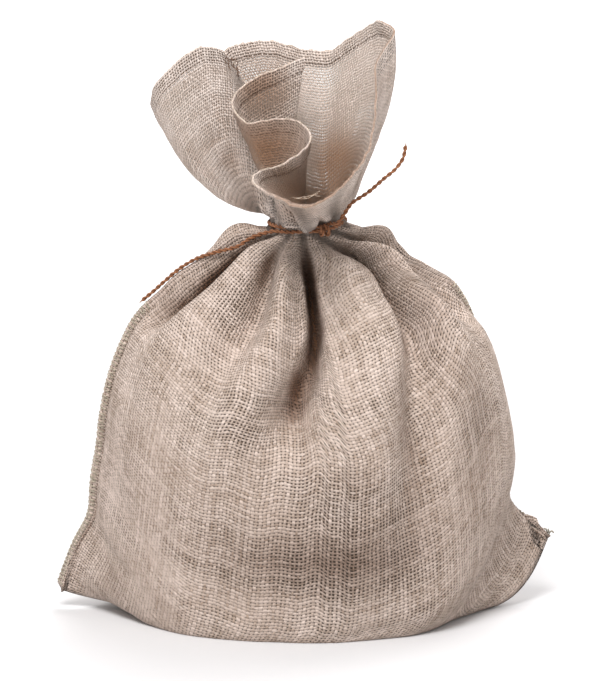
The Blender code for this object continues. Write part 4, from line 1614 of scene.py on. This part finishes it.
def packed_neck():
    ring = lining_grid[2, ::3]
    centre = ring.mean(axis=0)
    pucker = 0.8 * np.sin(2 * np.pi * NECK_PLEATS * places[::3])
    rings = []
    for below, shares in ((0.0, NECK_SHARES), (1.2, NECK_SHARES[::-1])):
        for share in shares:
            sunk = pucker * share - NECK_DIP * (1 - share) - below
            rings.append(centre + (ring - centre) * share + sunk[:, None] * [0, 0, 1])
    return np.concatenate(rings), ring_quads(len(rings), len(ring), looped=True)


# Dark brown painted shade on the packed cloth inside the tie.
packed = thread_material("packed_burlap_in_shade", (0.11, 0.068, 0.040), (0.24, 0.160, 0.105))
neck_disc = mesh_object("packed_neck", *packed_neck(), packed)
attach(neck_disc, "root")

# %% [markdown]
# Jute is hairy.  A few loose yarns run along the mouth's edge, short fibres
# stand off it and off the whole cloth, and some threads have worked out of the
# weave.  They are thin tubes joined into a few meshes.

# %% Loose yarns along the mouth's edge
fibre = thread_material("jute_fibre", (0.38, 0.29, 0.21), (0.70, 0.60, 0.49))
edge = (mouth_grid[-1] + lining_grid[-1]) / 2
edge_up = unit(mouth_grid[-1] - mouth_grid[-4])


def edge_yarns():
    paths = []
    for strand in range(3):
        sway = np.stack([noise_over(edge, (0.3, 0.3, 0.3), (0, 0, 9 * n + 31 * strand))
                         for n in range(3)], axis=-1)
        up = 0.2 - 1.6 * on_cone + 0.5 * sway[:, 0]
        spots = edge + edge_up * up[:, None] + sway * 0.7
        paths.append(spaced_out(np.concatenate([spots, spots[:1]]), 1.1))
    return joined_tubes(paths, 0.19, 6)


points, faces = edge_yarns()
edging = mesh_object("mouth_edge_yarns", points, faces, fibre)
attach(edging, "root")


# %% Fibres standing off the edge and the cloth
def edge_fibres():
    rng = np.random.default_rng(21)
    pick = rng.integers(0, len(places), EDGE_HAIRS)
    roots = edge[pick] + rng.normal(size=(len(pick), 3)) * 0.35
    leans = edge_up[pick] + rng.normal(size=(len(pick), 3)) * 0.75
    return roots, leans, rng.gamma(2.0, 0.55, len(pick)) + 0.3


def cloth_fibres(grid, count, seed):
    rng = np.random.default_rng(seed)
    rows = rng.integers(3, grid.shape[0] - 1, count)
    columns = rng.integers(0, grid.shape[1], count)
    facing = outward(grid)[rows, columns]
    roots = grid[rows, columns] + rng.normal(size=(count, 3)) * 0.3
    leans = facing * rng.uniform(0.15, 0.9, (count, 1)) + rng.normal(size=(count, 3)) * 0.6
    above = roots[:, 2] > 5
    return roots[above], leans[above], rng.gamma(2.2, 0.5, count)[above] + 0.4


for name, parts in (
    ("edge_fibres", [edge_fibres()]),
    ("cloth_fibres", [cloth_fibres(body_grid, BODY_HAIRS, 5),
                      cloth_fibres(mouth_grid, MOUTH_HAIRS, 6)]),
):
    roots, leans, lengths = (np.concatenate(group) for group in zip(*parts))
    points, faces = hair_tubes(roots, leans, lengths, 0.055, 0.3, 8)
    fuzz = mesh_object(name, points, faces, fibre)
    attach(fuzz, "root")


# %% Threads that have worked loose
LOOSE = """
name       x   y   z   dx  dy  dz  length bow shade
pit_a      -4  -51 246 1   0   .1  14     .8  0
pit_b      -3  -49 245 1   .1  .22 15     .6  0
pit_c      2   -51 246 1   -.1 .25 9      -.6 0
pit_d      -5  -49 245 1   .1  .05 13     .7  1
pit_e      0   -50 245 1   0   .16 12     -.7 1
fray_a     -40 -3  314 .3  -.3 -1  5      .8  1
fray_b     -38 -3  313 .6  -.2 -1  7      -1  1
fray_c     -39 -4  311 .1  -.3 -1  4      .5  1
fray_d     -36 -3  310 .5  -.3 -.8 6      .8  1
fray_e     -39 -2  315 -.3 -.4 .6  3      .5  1
fray_f     -35 -4  308 .4  -.2 -1  5      -.6 1
fray_g     -41 -3  315 .7  -.3 -.4 6      .9  1
fray_h     -37 -3  312 .2  -.4 -1  6      1   1
fray_i     -34 -4  306 .3  -.2 -1  4      .6  1
fray_j     -40 -3  312 1   -.3 -.2 4      .6  1
ear_tail_a 137 24  37  .5  -.3 .9  3      1   2
ear_tail_b 138 24  36  .9  -.2 .5  3      -1  2
ear_tail_c 137 23  38  .2  -.4 1   3      .8  2
"""


def loose_threads():
    """Paths of the loose threads, by shade."""
    table = read_table(LOOSE)
    rng = np.random.default_rng(3)
    paths = {0: [], 1: [], 2: []}
    for index in range(len(table["x"])):
        start = np.array([table[axis][index] for axis in "xyz"])
        way = unit(np.array([table["d" + axis][index] for axis in "xyz"]))
        across = np.cross(way, [0.2, -1, 0.3])
        t = np.linspace(0, 1, 14)[:, None]
        bow = np.sin(np.pi * t * 1.3) * table["bow"][index]
        path = start + way * t * table["length"][index] + across * bow
        path += np.cumsum(rng.normal(size=(14, 3)) * 0.16, axis=0)
        paths[int(table["shade"][index])].append(path)
    return paths


for shade, paths in loose_threads().items():
    name, material, radius = (("loose_pale", fibre, 0.16), ("loose_brown", brown, 0.24),
                              ("ear_thread_tail", grey_green, 0.45))[shade]
    points, faces = joined_tubes(paths, radius, 5)
    strands = mesh_object(name, points, faces, material)
    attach(strands, "root")

# %% [markdown]
# A plain pale floor, a bright even surround and two soft lights from above, as a
# photographer's light tent gives.

# %% Floor and light
def floor_plane():
    points = np.array([[-4000, -3000, 0], [4000, -3000, 0], [4000, 6000, 0], [-4000, 6000, 0]], float)
    material, tree, shader = start_material("pale_floor", Base_Color=(0.70, 0.69, 0.695, 1),
                                            Roughness=0.9, Emission_Strength=0.8)
    place = own_place(tree)
    away = place.node("ShaderNodeVectorMath", {"operation": "LENGTH"}, {0: place}, 1)
    glow = blend(away.between(0.35, 1.6), (0, 0, 0), (1, 1, 1))
    tree.links.new(glow.socket, shader.inputs["Emission Color"])
    floor = mesh_object("floor", points, [(0, 1, 2, 3)], material)
    floor.data.shade_flat()


def soft_light(name, place, aim, size, power):
    lamp = bpy.data.lights.new(name, "AREA")
    lamp.shape = "SQUARE"
    lamp.size = size
    lamp.energy = power
    place_it(name, lamp, place, Vector(aim) - Vector(place)).visible_camera = False


def surround():
    world = bpy.data.worlds.new("surround")
    world.use_nodes = True
    sky = world.node_tree.nodes["Background"]
    sky.inputs[0].default_value = (1, 1, 1, 1)
    sky.inputs[1].default_value = 0.62
    bpy.context.scene.world = world


floor_plane()
surround()
soft_light("key_above", (-0.25, -1.1, 1.9), (0, 0, 0.14), 0.9, 40)
soft_light("back_above", (0.35, 0.8, 1.7), (0, 0, 0.2), 1.0, 22)
bpy.context.scene.view_settings.view_transform = "Standard"
